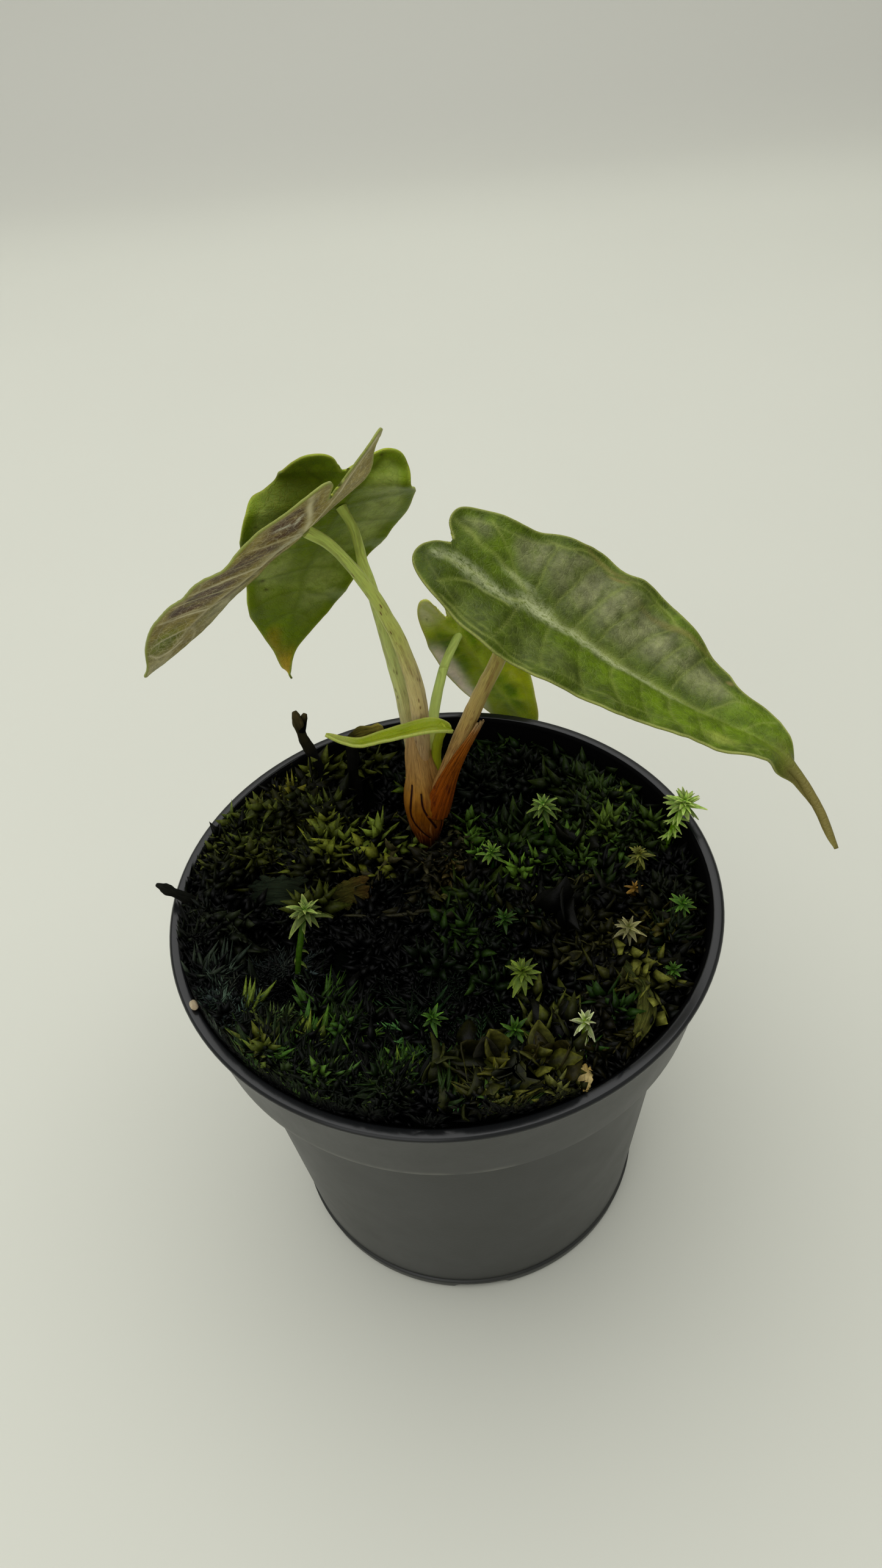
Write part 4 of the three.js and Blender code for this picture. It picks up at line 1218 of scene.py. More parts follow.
RIGHT_BLADE = Blade(
    name="blade_right",
    slot="leaf_quilted",
    midrib=(
        (5.9, 15.6, 132.0), (15.9, 10.3, 124.2), (22.8, 6.4, 119.8), (30.7, 1.3, 115.5), (38.4, -4.0, 112.9),
        (45.7, -9.7, 111.5), (49.1, -12.9, 110.0), (52.1, -17.6, 106.1), (53.6, -22.2, 102.2),
    ),
    roll=11.9,
    roll_per_mm=-0.515,
    fold=0.22,
    wave=0.45,
    left_half=(
        (-13.7, 0.5), (-15.6, 2.0), (-15.9, 4.0), (-14.5, 5.6), (-11.5, 7.0), (-8, 8.0), (-5, 9.4),
        (-2, 11.1), (1.5, 11.8), (3.6, 12.8), (6, 13.5), (9.5, 12.5), (12.2, 13.1), (15.5, 13.6), (18, 13.1),
        (21, 11.6), (24, 10.8), (27, 9.4), (29.5, 7.8), (31.4, 6.3), (33.4, 5.8), (36, 5.9), (38.5, 4.8),
        (40.5, 3.4), (42.4, 2.3), (46, 1.9), (50, 1.2), (53, 0.9), (56.4, 0.3),
    ),
    right_half=(
        (-13.7, 0.5), (-15.5, 1.7), (-16.8, 4.0), (-16.5, 6.4), (-14, 8.7), (-11.5, 10.0), (-8, 10.3),
        (-5, 11.2), (-2, 12.3), (0, 12.4), (2, 11.8), (4.5, 11.5), (7, 12.1), (9.5, 11.7), (12.5, 10.3),
        (15, 10.1), (18.5, 10.7), (20.5, 9.9), (23, 8.4), (25, 8.2), (28.5, 9.0), (30.5, 8.1), (33, 7.1),
        (36.5, 7.2), (39, 5.8), (40.5, 4.7), (42, 3.3), (44.5, 2.5), (48, 1.8), (51, 1.1), (54, 0.8),
        (56.4, 0.3),
    ),
    veins=(
        (0, -1.5, 9.8), (7.6, 10.4, 10.8), (3.4, 5.6, 11.8), (15.4, 19.6, 9.8), (11.4, 14.6, 11.2),
        (23.8, 25.8, 9.0), (19.8, 23.2, 9.6), (29.6, 34.4, 5.0), (35.5, 38.6, 4.0), (-0.5, -1.4, -10.6),
        (4.5, 7.2, -10.2), (9.2, 15.2, -9.6), (15, 20.5, -9.0), (19.5, 24.5, -7.6), (24, 30, -8.0),
        (28.5, 33.5, -6.6), (32.5, 37.5, -6.2), (36.2, 39.6, -4.4),
    ),
    ribs=(
        (0.42, ((-0.4, 0.8), (-5, 1.9), (-10, 2.3), (-15, 2.7))),
        (0.42, ((-0.4, -0.2), (-3, -2.4), (-8, -2.3), (-13, -3.2))),
        (0.25, ((-2, -3.4), (-7.5, -4.0), (-10.5, -5.6), (-12, -7.6))),
        (0.2, ((-2.5, 1.6), (-7, 4.2), (-11, 5.8))),
        (0.28, ((9.6, 11.0), (12, 12.0), (15, 12.4), (18, 11.8), (20, 9.9), (24, 9.2))),
        (0.25, ((-3, 9.6), (0, 9.6), (2.5, 11.2), (5, 12.0), (7.8, 11.6))),
        (0.25, ((-10.5, -9.2), (-7.5, -9.3), (-4.6, -10.2), (-2.4, -11.0), (2, -10.8), (6, -11.0))),
    ),
    spots={
        # The grey patches on the raised quilts of the far half are partly the blade's own grey and partly
        # painted sheen.
        PATCH: (
            (-3.6, 6.6, 3.6, 3.6, 0.9), (4.6, 7.6, 5.4, 5.0, 0.95), (13.4, 6.8, 5.6, 4.6, 1.0),
            (21.2, 6.2, 4.4, 3.4, 0.9), (28.4, 4.6, 4.2, 2.6, 0.8), (-12.5, 4.6, 3.0, 2.4, 0.7),
            (-8, -8, 6.5, 2.0, 0.15), (6, -7.5, 6, 3.0, 0.2),
        ),
        # The pale band just under the midrib is painted sheen.
        FROST_AND_SHEEN: (
            (1.2, -0.5, 3.4, 1.5, 0.6), (9, -0.6, 7.5, 0.9, 0.55), (20, -0.4, 8, 0.5, 0.4),
            (-9, -2.6, 4.6, 1.3, 0.55), (-3.4, -2.4, 2.6, 0.9, 0.45), (-14.2, -3.6, 1.2, 0.8, 0.5),
            (-3, 1.6, 3.4, 0.6, 0.35),
        ),
        BRIGHT: (
            (28, -3.6, 13, 4.4, 0.6), (38, 1.5, 6, 4, 0.6), (-8, 4, 6, 4, 0.5), (12, -3.4, 8, 2.6, 0.35),
            (33, 4, 4, 2.4, 0.4), (19, 11, 5, 1.8, 0.4),
        ),
        STAIN: (
            (20, 9.6, 7, 0.5, 0.5), (6, 11.8, 5, 0.4, 0.5), (9, 10.9, 1.6, 0.3, 0.8),
            (51, -0.4, 9.2, 3.4, 1.0), (30.3, 6.1, 0.55, 0.35, 0.9),
        ),
        PALE: ((34, -4.6, 2.4, 1.0, 0.5),),
    },
    rows=220,
    half_columns=40,
    quilting=0.34,
    midrib_width=0.95,
    midrib_strength=0.6,
    rib_strength=0.5,
    vein_width=0.2,
    vein_strength=0.34,
    margin_width=0.2,
    tip_roll=(40.5, 46.0),
)

SMALL_BLADE = Blade(
    name="blade_small",
    slot="leaf_small",
    midrib=(
        (4.2, 40.0, 102.8), (6.8, 43.0, 95.2), (9.9, 44.8, 88.2), (12.5, 46.4, 81.5), (15.6, 47.6, 74.8),
        (18.4, 48.4, 68.6), (20.4, 48.8, 62.4),
    ),
    roll=-62,
    roll_per_mm=0,
    fold=0.15,
    wave=0.2,
    left_half=(
        (-6.5, 0.4), (-10.8, 0.6), (-13.4, 1), (-13.9, 2.2), (-11.9, 3.5), (-8, 4.5), (-2.2, 5.4), (3.4, 6.6),
        (8, 6.9), (14, 6.5), (20, 6.3), (25, 5.2), (30, 3), (34, 1.2), (36.2, 0.3),
    ),
    right_half=(
        (-6.5, 0.4), (-10, 1), (-12.5, 2.2), (-12.5, 4), (-9, 5.6), (-2, 7.2), (6, 8), (13, 7.8), (19, 6.6),
        (24, 5.2), (29.4, 3.4), (33, 1.4), (36.2, 0.3),
    ),
    veins=(
        (0, -2, 4.6), (5, 8, 5.8), (11, 15, 5.4), (17, 21, 4.8), (22, 26, 3.6),
        (0, -2, -6), (5, 8, -6.8), (11, 15, -6.2), (17, 21, -4.8), (22, 26, -3.6),
    ),
    ribs=(
        (0.5, ((0, 0.2), (-4, 0.9), (-8, 1.6), (-12.5, 2.0))),
        (0.3, ((0, 0), (-4, -1.6), (-8, -2.6), (-11, -3.2))),
    ),
    spots={
        PATCH: ((4, 2.9, 8, 1.7, 1.1), (21, -0.6, 6.6, 2.4, 1.2), (1, -1.4, 5.5, 1.0, 0.9)),
        FROST_AND_SHEEN: ((16.8, -3.8, 1.6, 0.7, 0.3),),
        # The pale spots along the left half and the bright spot on its lobe are partly the blade's own pale
        # rim and partly painted light shining through it.
        BRIGHT: ((17, -4.6, 5, 2.4, 1.0), (-8, 2.5, 5, 2, 0.6), (26, -3, 4, 2, 0.6)),
        STAIN: ((-8.4, 3.2, 0.4, 0.3, 0.6),),
        PALE: ((8, 5.8, 9, 1.9, 1.0), (20, 5.8, 6, 1.8, 0.8), (-11, 2.4, 4.4, 2.6, 0.5)),
    },
    rows=110,
    half_columns=20,
    quilting=0.25,
    midrib_width=0.35,
    midrib_strength=0.5,
)

NEW_BLADE = Blade(
    name="blade_new",
    slot="leaf_new",
    midrib=(
        (3.9, 13.3, 98.7), (2.0, 12.8, 99.9), (-0.1, 12.6, 100.3), (-4.0, 12.5, 99.7), (-8.0, 12.5, 98.9),
        (-11.0, 12.8, 98.1), (-13.8, 13.3, 98.7), (-16.7, 14.0, 100.1),
    ),
    roll=0,
    roll_per_mm=0,
    fold=0.35,
    wave=0,
    left_half=((-2, 0.4), (-1.4, 1.2), (1.5, 1.7), (6, 1.45), (11, 1.1), (15, 0.75), (18, 0.4), (19, 0.2)),
    right_half=((-2, 0.4), (-1.4, 1.2), (1.5, 1.7), (6, 1.55), (11, 1.25), (15, 0.9), (18, 0.5), (19, 0.2)),
    veins=(),
    ribs=((0.2, ((1, 1.0), (7, 1.1), (14, 0.7))), (0.2, ((1, -1.0), (7, -1.1), (14, -0.7)))),
    spots={
        PATCH: ((6, 0.2, 9, 0.5, 0.9),),
        BRIGHT: ((8, 0.9, 10, 1.2, 0.6),),
        PALE: ((17.5, 0, 3, 1.4, 0.7),),
    },
    rows=70,
    half_columns=10,
    thickness=0.5,
    quilting=0.1,
    midrib_width=0.3,
    midrib_strength=0.1,
    margin_width=0.22,
)

UPPER_SIDE = BladeFinish(
    "blade_upper_side", deep="3a4904", bright="587008", patch="6e714c", rib="868f46", frost_and_sheen="a6ac82",
    margin="868c48", stain="6b6232", pale="8c9440", net=0.11, mottle=1.0, roughness=0.38,
)
UNDER_SIDE = BladeFinish(
    "blade_under_side", deep="948434", bright="6c780a", patch="4e2604", rib="e2d8ac", frost_and_sheen="dcd8bc",
    margin="98a040", stain="6c6132", pale="b8b284", net=0.4, mottle=0.95, roughness=0.5,
)
BACK_SIDE = BladeFinish(
    "blade_back_side", deep="667a0e", bright="6c8604", patch="9aa854", rib="4c5a0c", frost_and_sheen="9aa77a",
    margin="8a9830", stain="3c3a0e", pale="b0941c", net=0.18, mottle=0.5, roughness=0.5, glow=0.2,
)
# The small blade's colours are lighter than its own: painted light for the light that shines through it from
# behind.
SMALL_SIDE = BladeFinish(
    "blade_small_side", deep="94a818", bright="acb80e", patch="587a00", rib="acb850", frost_and_sheen="dadc70",
    margin="bcc060", stain="4c5212", pale="ece8cc", net=0.12, mottle=0.4, roughness=0.5, glow=0.2,
)
NEW_SIDE = BladeFinish(
    "blade_new_side", deep="83920e", bright="9aa820", patch="5c660c", rib="9ca850", frost_and_sheen="d0d494",
    margin="a9b456", stain="5c6014", pale="acb25c", net=0.1, mottle=0.3, roughness=0.42, glow=0.2,
)


# Stalks and twigs


@dataclass(frozen=True)
class Stem:
    """A round stalk, twig or hair along a curve."""

    points: tuple[Point, ...]
    radii: tuple[Pair, ...]
    sides: int = 28
    rows: int = 150
    ridges: float = 0.03
    bumps: float = 0.05
    seed: int = 1

    def build(self, name: str) -> Piece:
        """Builds the stem as a closed tube, with its centimetres round and along as its flat pattern.

        Args:
            name: the piece's name.

        Returns:
            The tube, which stores the share of its length in "along".
        """
        track, grain, grid = Track(self.points), Grain(self.seed), Grid(name, self.sides, self.rows)
        shares, sizes = zip(*self.radii)
        distance = grid.along * track.length
        tangent = track.tangent(distance)
        side = unit(np.cross(tangent, np.array([0.3, 1.0, 0.1])))
        rise = np.cross(side, tangent)
        angle = 2 * math.pi * grid.across
        spoke = side * np.cos(angle)[:, None] + rise * np.sin(angle)[:, None]
        ring = np.stack([3 * np.cos(angle), 3 * np.sin(angle), distance * 0.12], axis=1)
        lumps = np.stack([np.cos(angle), np.sin(angle), distance * 0.8], axis=1)
        uneven = 1 + self.ridges * grain.at(ring, 0.9) + self.bumps * grain.at(lumps, 1.3)
        radius = np.interp(grid.along, shares, sizes) * uneven
        flat = grid.stretched(2 * math.pi * max(sizes), track.length)
        piece = grid.laid(track.at(distance) + spoke * radius[:, None], flat)
        put_share(piece, "along", grid.along)
        close_up(piece)
        smooth(piece, 60)
        return piece


@dataclass(frozen=True)
class Stalks:
    """The five leaf stalks, each from inside the stem base up to its blade."""

    left: Stem = Stem(
        (
            (-2.9, 16.2, 80.4), (-2.6, 16.3, 83.5), (-1.8, 16.4, 88.1), (-1.3, 16.4, 93.5),
            (-1.1, 16.5, 98.7), (-1.2, 16.6, 103.7), (-1.8, 16.7, 108.6), (-3.3, 16.8, 115.5),
            (-4.5, 16.8, 119.0), (-5.6, 16.8, 122.3), (-7.2, 16.8, 125.7), (-8.9, 16.8, 128.9),
            (-11.4, 16.7, 132.7), (-14.1, 16.5, 135.1),
        ),
        ((0, 1.1), (0.35, 1.45), (0.9, 0.78), (1, 0.95)), seed=3,
    )
    back: Stem = Stem(
        (
            (-3.2, 18.8, 80.4), (-3.3, 18.9, 83.5), (-3.1, 18.9, 86.6), (-3.1, 18.9, 92.1),
            (-3.3, 19.0, 97.4), (-3.6, 19.1, 102.6), (-4.2, 19.3, 107.1), (-5.2, 19.7, 114.3),
            (-5.7, 20.2, 117.3), (-6.2, 21.2, 120.0), (-6.7, 22.8, 121.9), (-7.4, 25.0, 123.5),
            (-7.8, 28.0, 124.5), (-8.5, 31.0, 126.2), (-10.0, 33.1, 128.7),
        ),
        ((0, 1.05), (0.35, 1.2), (0.95, 0.72), (1, 0.9)), seed=4,
    )
    right: Stem = Stem(
        (
            (-0.3, 14.1, 80.4), (-0.1, 14.1, 83.2), (1.1, 14.2, 86.3), (2.7, 14.2, 90.2), (4.3, 14.1, 94.2),
            (6.3, 14.0, 99.3), (8.4, 13.9, 104.5), (10.6, 13.6, 109.5), (12.3, 13.0, 114.2),
            (13.8, 12.2, 118.5), (15.8, 10.4, 124.0),
        ),
        ((0, 1.15), (0.35, 1.35), (0.95, 1.08), (1, 1.2)), seed=5,
    )
    small: Stem = Stem(
        (
            (-0.3, 20.0, 80.4), (-0.4, 20.2, 84.0), (-0.4, 20.8, 87.2), (0.4, 23.5, 89.7), (1.1, 26.5, 91.2),
            (1.8, 29.5, 92.0), (2.8, 33.0, 93.1), (3.8, 36.5, 93.6), (5.3, 39.8, 94.5), (6.8, 42.9, 95.1),
        ),
        ((0, 0.85), (0.35, 0.95), (1, 0.75)), seed=6,
    )
    new: Stem = Stem(
        (
            (0.7, 17.4, 80.4), (0.6, 17.5, 84.0), (0.9, 16.9, 90.7), (1.5, 15.1, 95.6), (2.0, 13.5, 98.4),
            (2.0, 12.8, 99.9),
        ),
        ((0, 0.85), (0.35, 0.85), (1, 0.8)), seed=7, rows=70,
    )

    def build(self, shared: Shared) -> None:
        """Builds and dresses the stalks.

        Args:
            shared: the groups that their finish uses.
        """
        finishes = {
            "left": ("stalk_tan", StalkFinish(
                "stalk_left_skin", dark="6a451e",
                stops=(
                    (0.0, "8a5c2c"), (0.14, "b48e5c"), (0.3, "cdb480"), (0.5, "cec27c"), (0.62, "c4ca66"),
                    (0.85, "b4c65c"), (1.0, "b6c85c"),
                ),
                streaks=0.7, specks=1.0,
            )),
            "back": ("stalk_green", StalkFinish(
                "stalk_back_skin", dark="66501e",
                stops=(
                    (0.0, "8a5c2c"), (0.12, "bc9c64"), (0.28, "cec486"), (0.5, "c4ce7c"), (0.8, "aebe54"),
                    (1.0, "9eae46"),
                ),
                streaks=0.5, specks=0.9,
            )),
            "right": ("stalk_tan", StalkFinish(
                "stalk_right_skin", dark="7a5228",
                stops=((0.0, "8a5824"), (0.3, "b08a4c"), (0.55, "b29c58"), (0.8, "aaa24e"), (1.0, "a4a84c")),
                streaks=1.0, specks=0.7,
            )),
            "small": ("stalk_green", StalkFinish(
                "stalk_small_skin", dark="6f7a34",
                stops=((0.0, "7c4c1c"), (0.15, "a2a050"), (0.4, "a6b654"), (1.0, "aec060")),
                streaks=0.25, specks=0.2,
            )),
            "new": ("leaf_new", StalkFinish(
                "stalk_new_skin", dark="7b8420",
                stops=((0.0, "7c5a1c"), (0.2, "959c1c"), (1.0, "9cab18")), streaks=0.2, specks=0.1,
            )),
        }
        for name, (slot, finish) in finishes.items():
            piece = getattr(self, name).build(f"petiole_{name}")
            settle(piece, slot, [f"stalk_{name}"], [finish.material(shared)])


@dataclass(frozen=True)
class StemBase:
    """The swollen base of the stem, with the corm under it and its roots."""

    rings: tuple[tuple[float, float, float, float, float], ...] = (
        (57.5, -2.6, 16.4, 0.5, 0.5), (58.2, -2.6, 16.4, 2.6, 2.6), (60, -2.6, 16.4, 3.9, 3.9),
        (63, -2.6, 16.4, 4.6, 4.6), (67, -2.5, 16.4, 4.1, 4.1), (71, -2.1, 16.3, 2.4, 2.6),
        (73.5, -1.95, 16.3, 2.5, 2.8), (76.5, -1.9, 16.5, 3.3, 3.8), (80, -1.75, 16.9, 3.85, 4.5),
        (83, -1.7, 16.8, 3.55, 4.2), (85.5, -1.75, 16.9, 2.95, 3.6), (88, -1.85, 17.15, 2.5, 3.1),
        (91, -2.0, 17.5, 2.15, 2.6), (94, -2.1, 17.6, 1.6, 2.1), (96.5, -2.2, 17.7, 0.9, 1.2),
        (97.2, -2.2, 17.7, 0.3, 0.3),
    )
    cracks: tuple[tuple[Pair, ...], ...] = (
        ((226, 86.2), (226, 83.3), (228, 79.8), (244, 77.6), (279, 74.5)),
        ((260, 85.1), (264, 82.1), (298, 77.1)), ((312, 80.5), (320, 78.0), (316, 75.6)),
    )
    roots: int = 5

    def _clump(self) -> Piece:
        """Builds the clump and the corm from rings, with shallow ribs where the stalks' bases clasp it.

        Returns:
            One closed body, which stores its cracks in "crack".
        """
        track, grain, grid = Track(self.rings), Grain(21), Grid("stem_clump", 120, 230)
        ring = track.at(grid.along * track.length)
        angle = 2 * math.pi * grid.across
        flat = np.stack([np.degrees(angle) / 14, ring[:, 0]], axis=1)
        crack = np.zeros(len(flat))
        for line in self.cracks:
            path = Track([(turn / 14, height) for turn, height in line]).evenly(24)
            crack = np.maximum(crack, np.exp(-((near_line(flat, path) / 0.3) ** 2)))
        ribs = 0.05 * np.sin(5 * angle + 0.25 * ring[:, 0]) * soft_step(74, 82, ring[:, 0])
        round_it = np.stack([3 * np.cos(angle), 3 * np.sin(angle), ring[:, 0] * 0.25], axis=1)
        size = 1 + ribs + 0.04 * grain.layered(round_it, 1.6) - 0.05 * crack
        x = ring[:, 1] + ring[:, 3] * size * np.cos(angle)
        y = ring[:, 2] + ring[:, 4] * size * np.sin(angle)
        piece = grid.laid(np.stack([x, y, ring[:, 0]], axis=1), grid.stretched(26, track.length))
        put_share(piece, "crack", crack)
        close_up(piece)
        return piece

    def _root(self, number: int) -> Piece:
        """Builds one root down through the moss.

        Args:
            number: which one of them it is.

        Returns:
            The root.
        """
        angle = number / self.roots * 2 * math.pi + 0.4
        fall = 6 * (number % 2)
        reach = (
            (2.0, 0.0, 62.0), (6.5, 0.1, 58 - fall / 2), (11.0, 0.35, 49.0 - fall), (13.0, 0.7, 38.0 - fall),
        )
        points = tuple(
            (-2.6 + far * math.cos(angle + turn), 16.4 + 0.8 * far * math.sin(angle + turn), z)
            for far, turn, z in reach
        )
        root = Stem(points, ((0, 0.9), (1, 0.5)), sides=10, rows=30, bumps=0.15, seed=30 + number)
        return root.build(f"root_{number}")

    def build(self, shared: Shared) -> None:
        """Builds the clump with its roots and dresses it.

        Args:
            shared: the groups that its finish uses.
        """
        piece = joined("stem_clump", [self._clump(), *(self._root(number) for number in range(self.roots))])
        smooth(piece)
        skin = Skin("clump_skin", Roughness=0.5, Specular_IOR_Level=0.12)
        share = skin.math("DIVIDE", skin.math("SUBTRACT", skin.axis(2), 0.068), 0.032)
        base = skin.ramp(share, (
            (0.0, "140602"), (0.16, "2e0e03"), (0.25, "562801"), (0.4, "764404"), (0.52, "966820"),
            (0.64, "b28848"), (1.0, "c4a470"),
        ))
        pale = skin.noise(skin.stretched(skin.flat_place(), (5.0, 0.5, 1.0)), 3.0, 4.0, 0.7)
        base = skin.mix(skin.band(pale, 0.52, 0.7, 0.55), base, "a87438")
        colour, height = fibred(skin, shared, base, "3c1a06", 0.7, 0.3)
        blush = skin.band(skin.noise(skin.object_place(), 190.0, 3.0), 0.56, 0.72, 0.35)
        crack = skin.band(skin.parts("crack")[0], 0.35, 0.8)
        colour = skin.mix(crack, skin.mix(blush, colour, "6a2412"), "1e0705")
        settle(piece, "stem", ["stem_base"], [skin.dressed(colour, height, 0.1)])


@dataclass(frozen=True)
class Sheath:
    """The papery sheath round the foot of the right stalk, open behind and torn to a point."""

    path: tuple[Point, ...] = (
        (-0.2, 14.6, 80.0), (1.9, 14.3, 87.4), (4.2, 14.1, 94.0), (6.3, 14.0, 99.3), (7.2, 13.9, 101.9),
    )
    foot_radius: float = 2.3
    inner: float = 1.62

    def build(self, shared: Shared) -> None:
        """Builds the sheath, narrower towards its torn tip, and dresses it.

        Args:
            shared: the groups that its finish uses.
        """
        track, grain, grid = Track(self.path), Grain(12), Grid("torn_sheath", 60, 120)
        across, along = grid.across, grid.along
        torn = 0.9 * grain.at(np.stack([across * 9, across * 3], axis=1), 1.0)
        share = np.clip(along * (1 - 0.05 * (1 + torn) * soft_step(0.6, 1, along)), 0, 1)
        distance = share * track.length
        tangent = track.tangent(distance)
        front = unit(np.array([0.0, -1.0, 0.0]) + tangent * tangent[:, 1:2])
        right = -np.cross(front, tangent)
        angle = np.radians(50 + (2 * across - 1) * (118 - 98 * share**1.5))
        ridge = 0.07 * np.sin(across * 62 + 2 * grain.at(np.stack([across * 4, share * 3], axis=1), 1))
        flare = 0.55 * share**2 + (self.foot_radius - self.inner) * (1 - soft_step(0, 0.62, share))
        flare += 0.25 * grain.at(np.stack([across * 5, share * 6], axis=1), 1.2) * share
        radius = (self.inner + flare + ridge)[:, None]
        spoke = front * np.cos(angle)[:, None] + right * np.sin(angle)[:, None]
        piece = grid.laid(track.at(distance) + spoke * radius, grid.stretched(8, track.length))
        put_share(piece, "along", along)
        thicken(piece, 0.26)
        close_up(piece, 0.0)
        smooth(piece)
        skin = Skin("sheath_paper", Roughness=0.55, Specular_IOR_Level=0.12)
        height = skin.parts("along")[0]
        base = skin.ramp(height, (
            (0.0, "6c3300"), (0.2, "843e02"), (0.5, "8c4804"), (0.75, "985410"), (0.9, "a06a30"),
            (1.0, "ae9264"),
        ))
        colour, relief = fibred(skin, shared, base, "3c1406", 0.95, 0.2)
        cloud = skin.noise(skin.stretched(skin.flat_place(), (3.0, 0.8, 1.0)), 2.6, 4.0, 0.7)
        crimson = skin.times(skin.inverse(skin.band(height, 0.3, 0.62)), skin.band(cloud, 0.5, 0.66, 0.8))
        settle(piece, "sheath", ["sheath"], [skin.dressed(skin.mix(crimson, colour, "3e0c06"), relief, 0.16)])


# Pot


@dataclass(frozen=True)
class Pot:
    """The thin moulded nursery pot, spun from its section, with its drain holes and foot arches cut out."""

    section: tuple[Pair, ...] = (
        (0.0, 0.0), (10.0, 0.0), (11.4, 2.2), (30.4, 2.2), (30.4, 0.0), (32.6, 0.0), (33.0, 0.6),
        (33.31, 2.7), (32.91, 3.0), (38.8, 60.5), (42.0, 60.5), (44.3, 74.7), (45.0, 75.1), (45.0, 75.6),
        (44.6, 76.0), (43.4, 76.0), (42.8, 75.5), (40.9, 61.5), (37.7, 60.3), (31.85, 3.4), (10.0, 3.4),
        (8.6, 1.1), (0.0, 1.1),
    )
    rounded: tuple[int, ...] = (5, 6, 7, 10, 11, 12, 13, 14, 15, 16, 17, 18)
    steps: int = 144
    holes: int = 6
    hole_ring: float = 21.0
    hole_radius: float = 3.0
    arches: int = 6
    lip_inside: float = 43.32
    lip_height: float = 74.95

    def _cutters(self) -> list[Piece]:
        """Makes what cuts the pot.

        Returns:
            The drills for the drain holes and the wedges for the foot's arches.
        """
        made = []
        for number in range(self.holes):
            angle = (number + 0.5) / self.holes * 2 * math.pi
            deselect()
            x, y = self.hole_ring * math.cos(angle), self.hole_ring * math.sin(angle)
            bpy.ops.mesh.primitive_cylinder_add(
                vertices=40, radius=self.hole_radius * MM, depth=4 * MM, location=(x * MM, y * MM, 2.8 * MM)
            )
            made.append(bpy.context.object)
        for number in range(self.arches):
            angle = number / self.arches * 2 * math.pi
            deselect()
            place, size = (0, -32 * MM, 0.3 * MM), (13 * MM, 5 * MM, 3 * MM)
            bpy.ops.mesh.primitive_cube_add(size=1, location=place, scale=size)
            wedge = bpy.context.object
            for vertex in wedge.data.vertices:
                if vertex.co.z > 0:
                    vertex.co.x *= 0.68
            bpy.ops.object.transform_apply(location=True, rotation=True, scale=True)
            with editing(wedge):
                bpy.ops.mesh.bevel(offset=0.5 * MM, segments=2)
            wedge.data.transform(Matrix.Rotation(angle, 4, "Z"))
            made.append(wedge)
        return made

    def build(self) -> None:
        """Builds the pot and dresses it in satin plastic with a glossy lip, and its inside in near-black
        painted shade.
        """
        piece = spun("nursery_pot", self.section, self.steps, self.rounded)
        cutter = joined("pot_cutter", self._cutters())
        apply_modifier(piece, "BOOLEAN", object=cutter, operation="DIFFERENCE", solver="EXACT")
        bpy.data.objects.remove(cutter)
        with editing(piece):
            bpy.ops.mesh.remove_doubles(threshold=0.01 * MM)
            bpy.ops.mesh.dissolve_degenerate(threshold=0.001 * MM)
        smooth(piece, 32)
        # Painted shade: the inside of the pot and the inner slope of the lip get a near-black, dull material
        # where the same plastic lies in shade.
        inside = Skin("pot_inside_painted_shade", Base_Color="020202", Roughness=0.8, Specular_IOR_Level=0.04).material
        lip = Skin("pot_lip", Base_Color="121314", Roughness=0.24, Specular_IOR_Level=0.3).material
        for _ in range(3):
            piece.data.materials.append(inside)
        for face in piece.data.polygons:
            middle, away = face.center / MM, face.normal
            inward = middle.x * away.x + middle.y * away.y < 0
            within = inward and middle.z > 3 and math.hypot(middle.x, middle.y) < self.lip_inside
            face.material_index = 1 if within else 2 if middle.z > self.lip_height else 0
        settle(piece, "pot_plastic", ["pot"], [self._plastic(), inside, lip])

    def _plastic(self) -> Material:
        """Makes black plastic: satin on the wall, glossy on the lip, with faint scuffs and dust and a painted
        highlight along the collar's step.

        Returns:
            The material.
        """
        skin = Skin("pot_plastic", Specular_IOR_Level=0.36)
        place, height = skin.object_place(), skin.axis(2)
        cloud = skin.noise(place, 60.0, 5.0, 0.65)
        scuff = skin.noise(skin.stretched(place, (1.0, 1.0, 9.0)), 220.0, 4.0, 0.75)
        dust = skin.times(skin.band(scuff, 0.6, 0.78), skin.band(cloud, 0.42, 0.66))
        lip = skin.band(height, 0.0746, 0.0752)
        dusted = skin.times(dust, skin.inverse(lip))
        base = skin.mix(lip, skin.mix(skin.band(cloud, 0.3, 0.7), "1b1c1b", "242522"), "08090b")
        colour = skin.mix(skin.times(dusted, 0.4), base, "6f6e66")
        # Painted highlight: a pale line, broken by noise, along the collar's step.
        edge = skin.times(skin.band(height, 0.0598, 0.0606), skin.inverse(skin.band(height, 0.0607, 0.062)))
        painted_edge_highlight = skin.times(edge, skin.band(skin.noise(place, 90.0, 4.0), 0.4, 0.62, 0.3))
        satin = skin.math("ADD", 0.4, skin.times(skin.math("SUBTRACT", cloud, 0.5), 0.25))
        rough = skin.math("SUBTRACT", skin.math("ADD", satin, skin.times(dusted, 0.2)), skin.times(lip, 0.28))
        skin.feed(skin.shader, {"Roughness": rough})
        return skin.dressed(skin.mix(painted_edge_highlight, colour, "8a897f"), skin.noise(place, 2600.0, 2.0), 0.012)


# Moss


class Draw:
    """Numbers between 0 and 1 in the same fixed order as the solids use."""

    def __init__(self, seed: int) -> None:
        """Keeps the number that the draws start from."""
        self.state = seed

    def next(self) -> float:
        """Draws one number.

        Returns:
            The next number.
        """
        mask = 0xFFFFFFFF
        self.state = (self.state + 0x6D2B79F5) & mask
        value = self.state
        value = ((value ^ (value >> 15)) * (value | 1)) & mask
        value ^= (value + (((value ^ (value >> 7)) * (value | 61)) & mask)) & mask
        return ((value ^ (value >> 14)) & mask) / 4294967296

    def between(self, low: float, high: float) -> float:
        """The next number, from low to high."""
        return low + (high - low) * self.next()


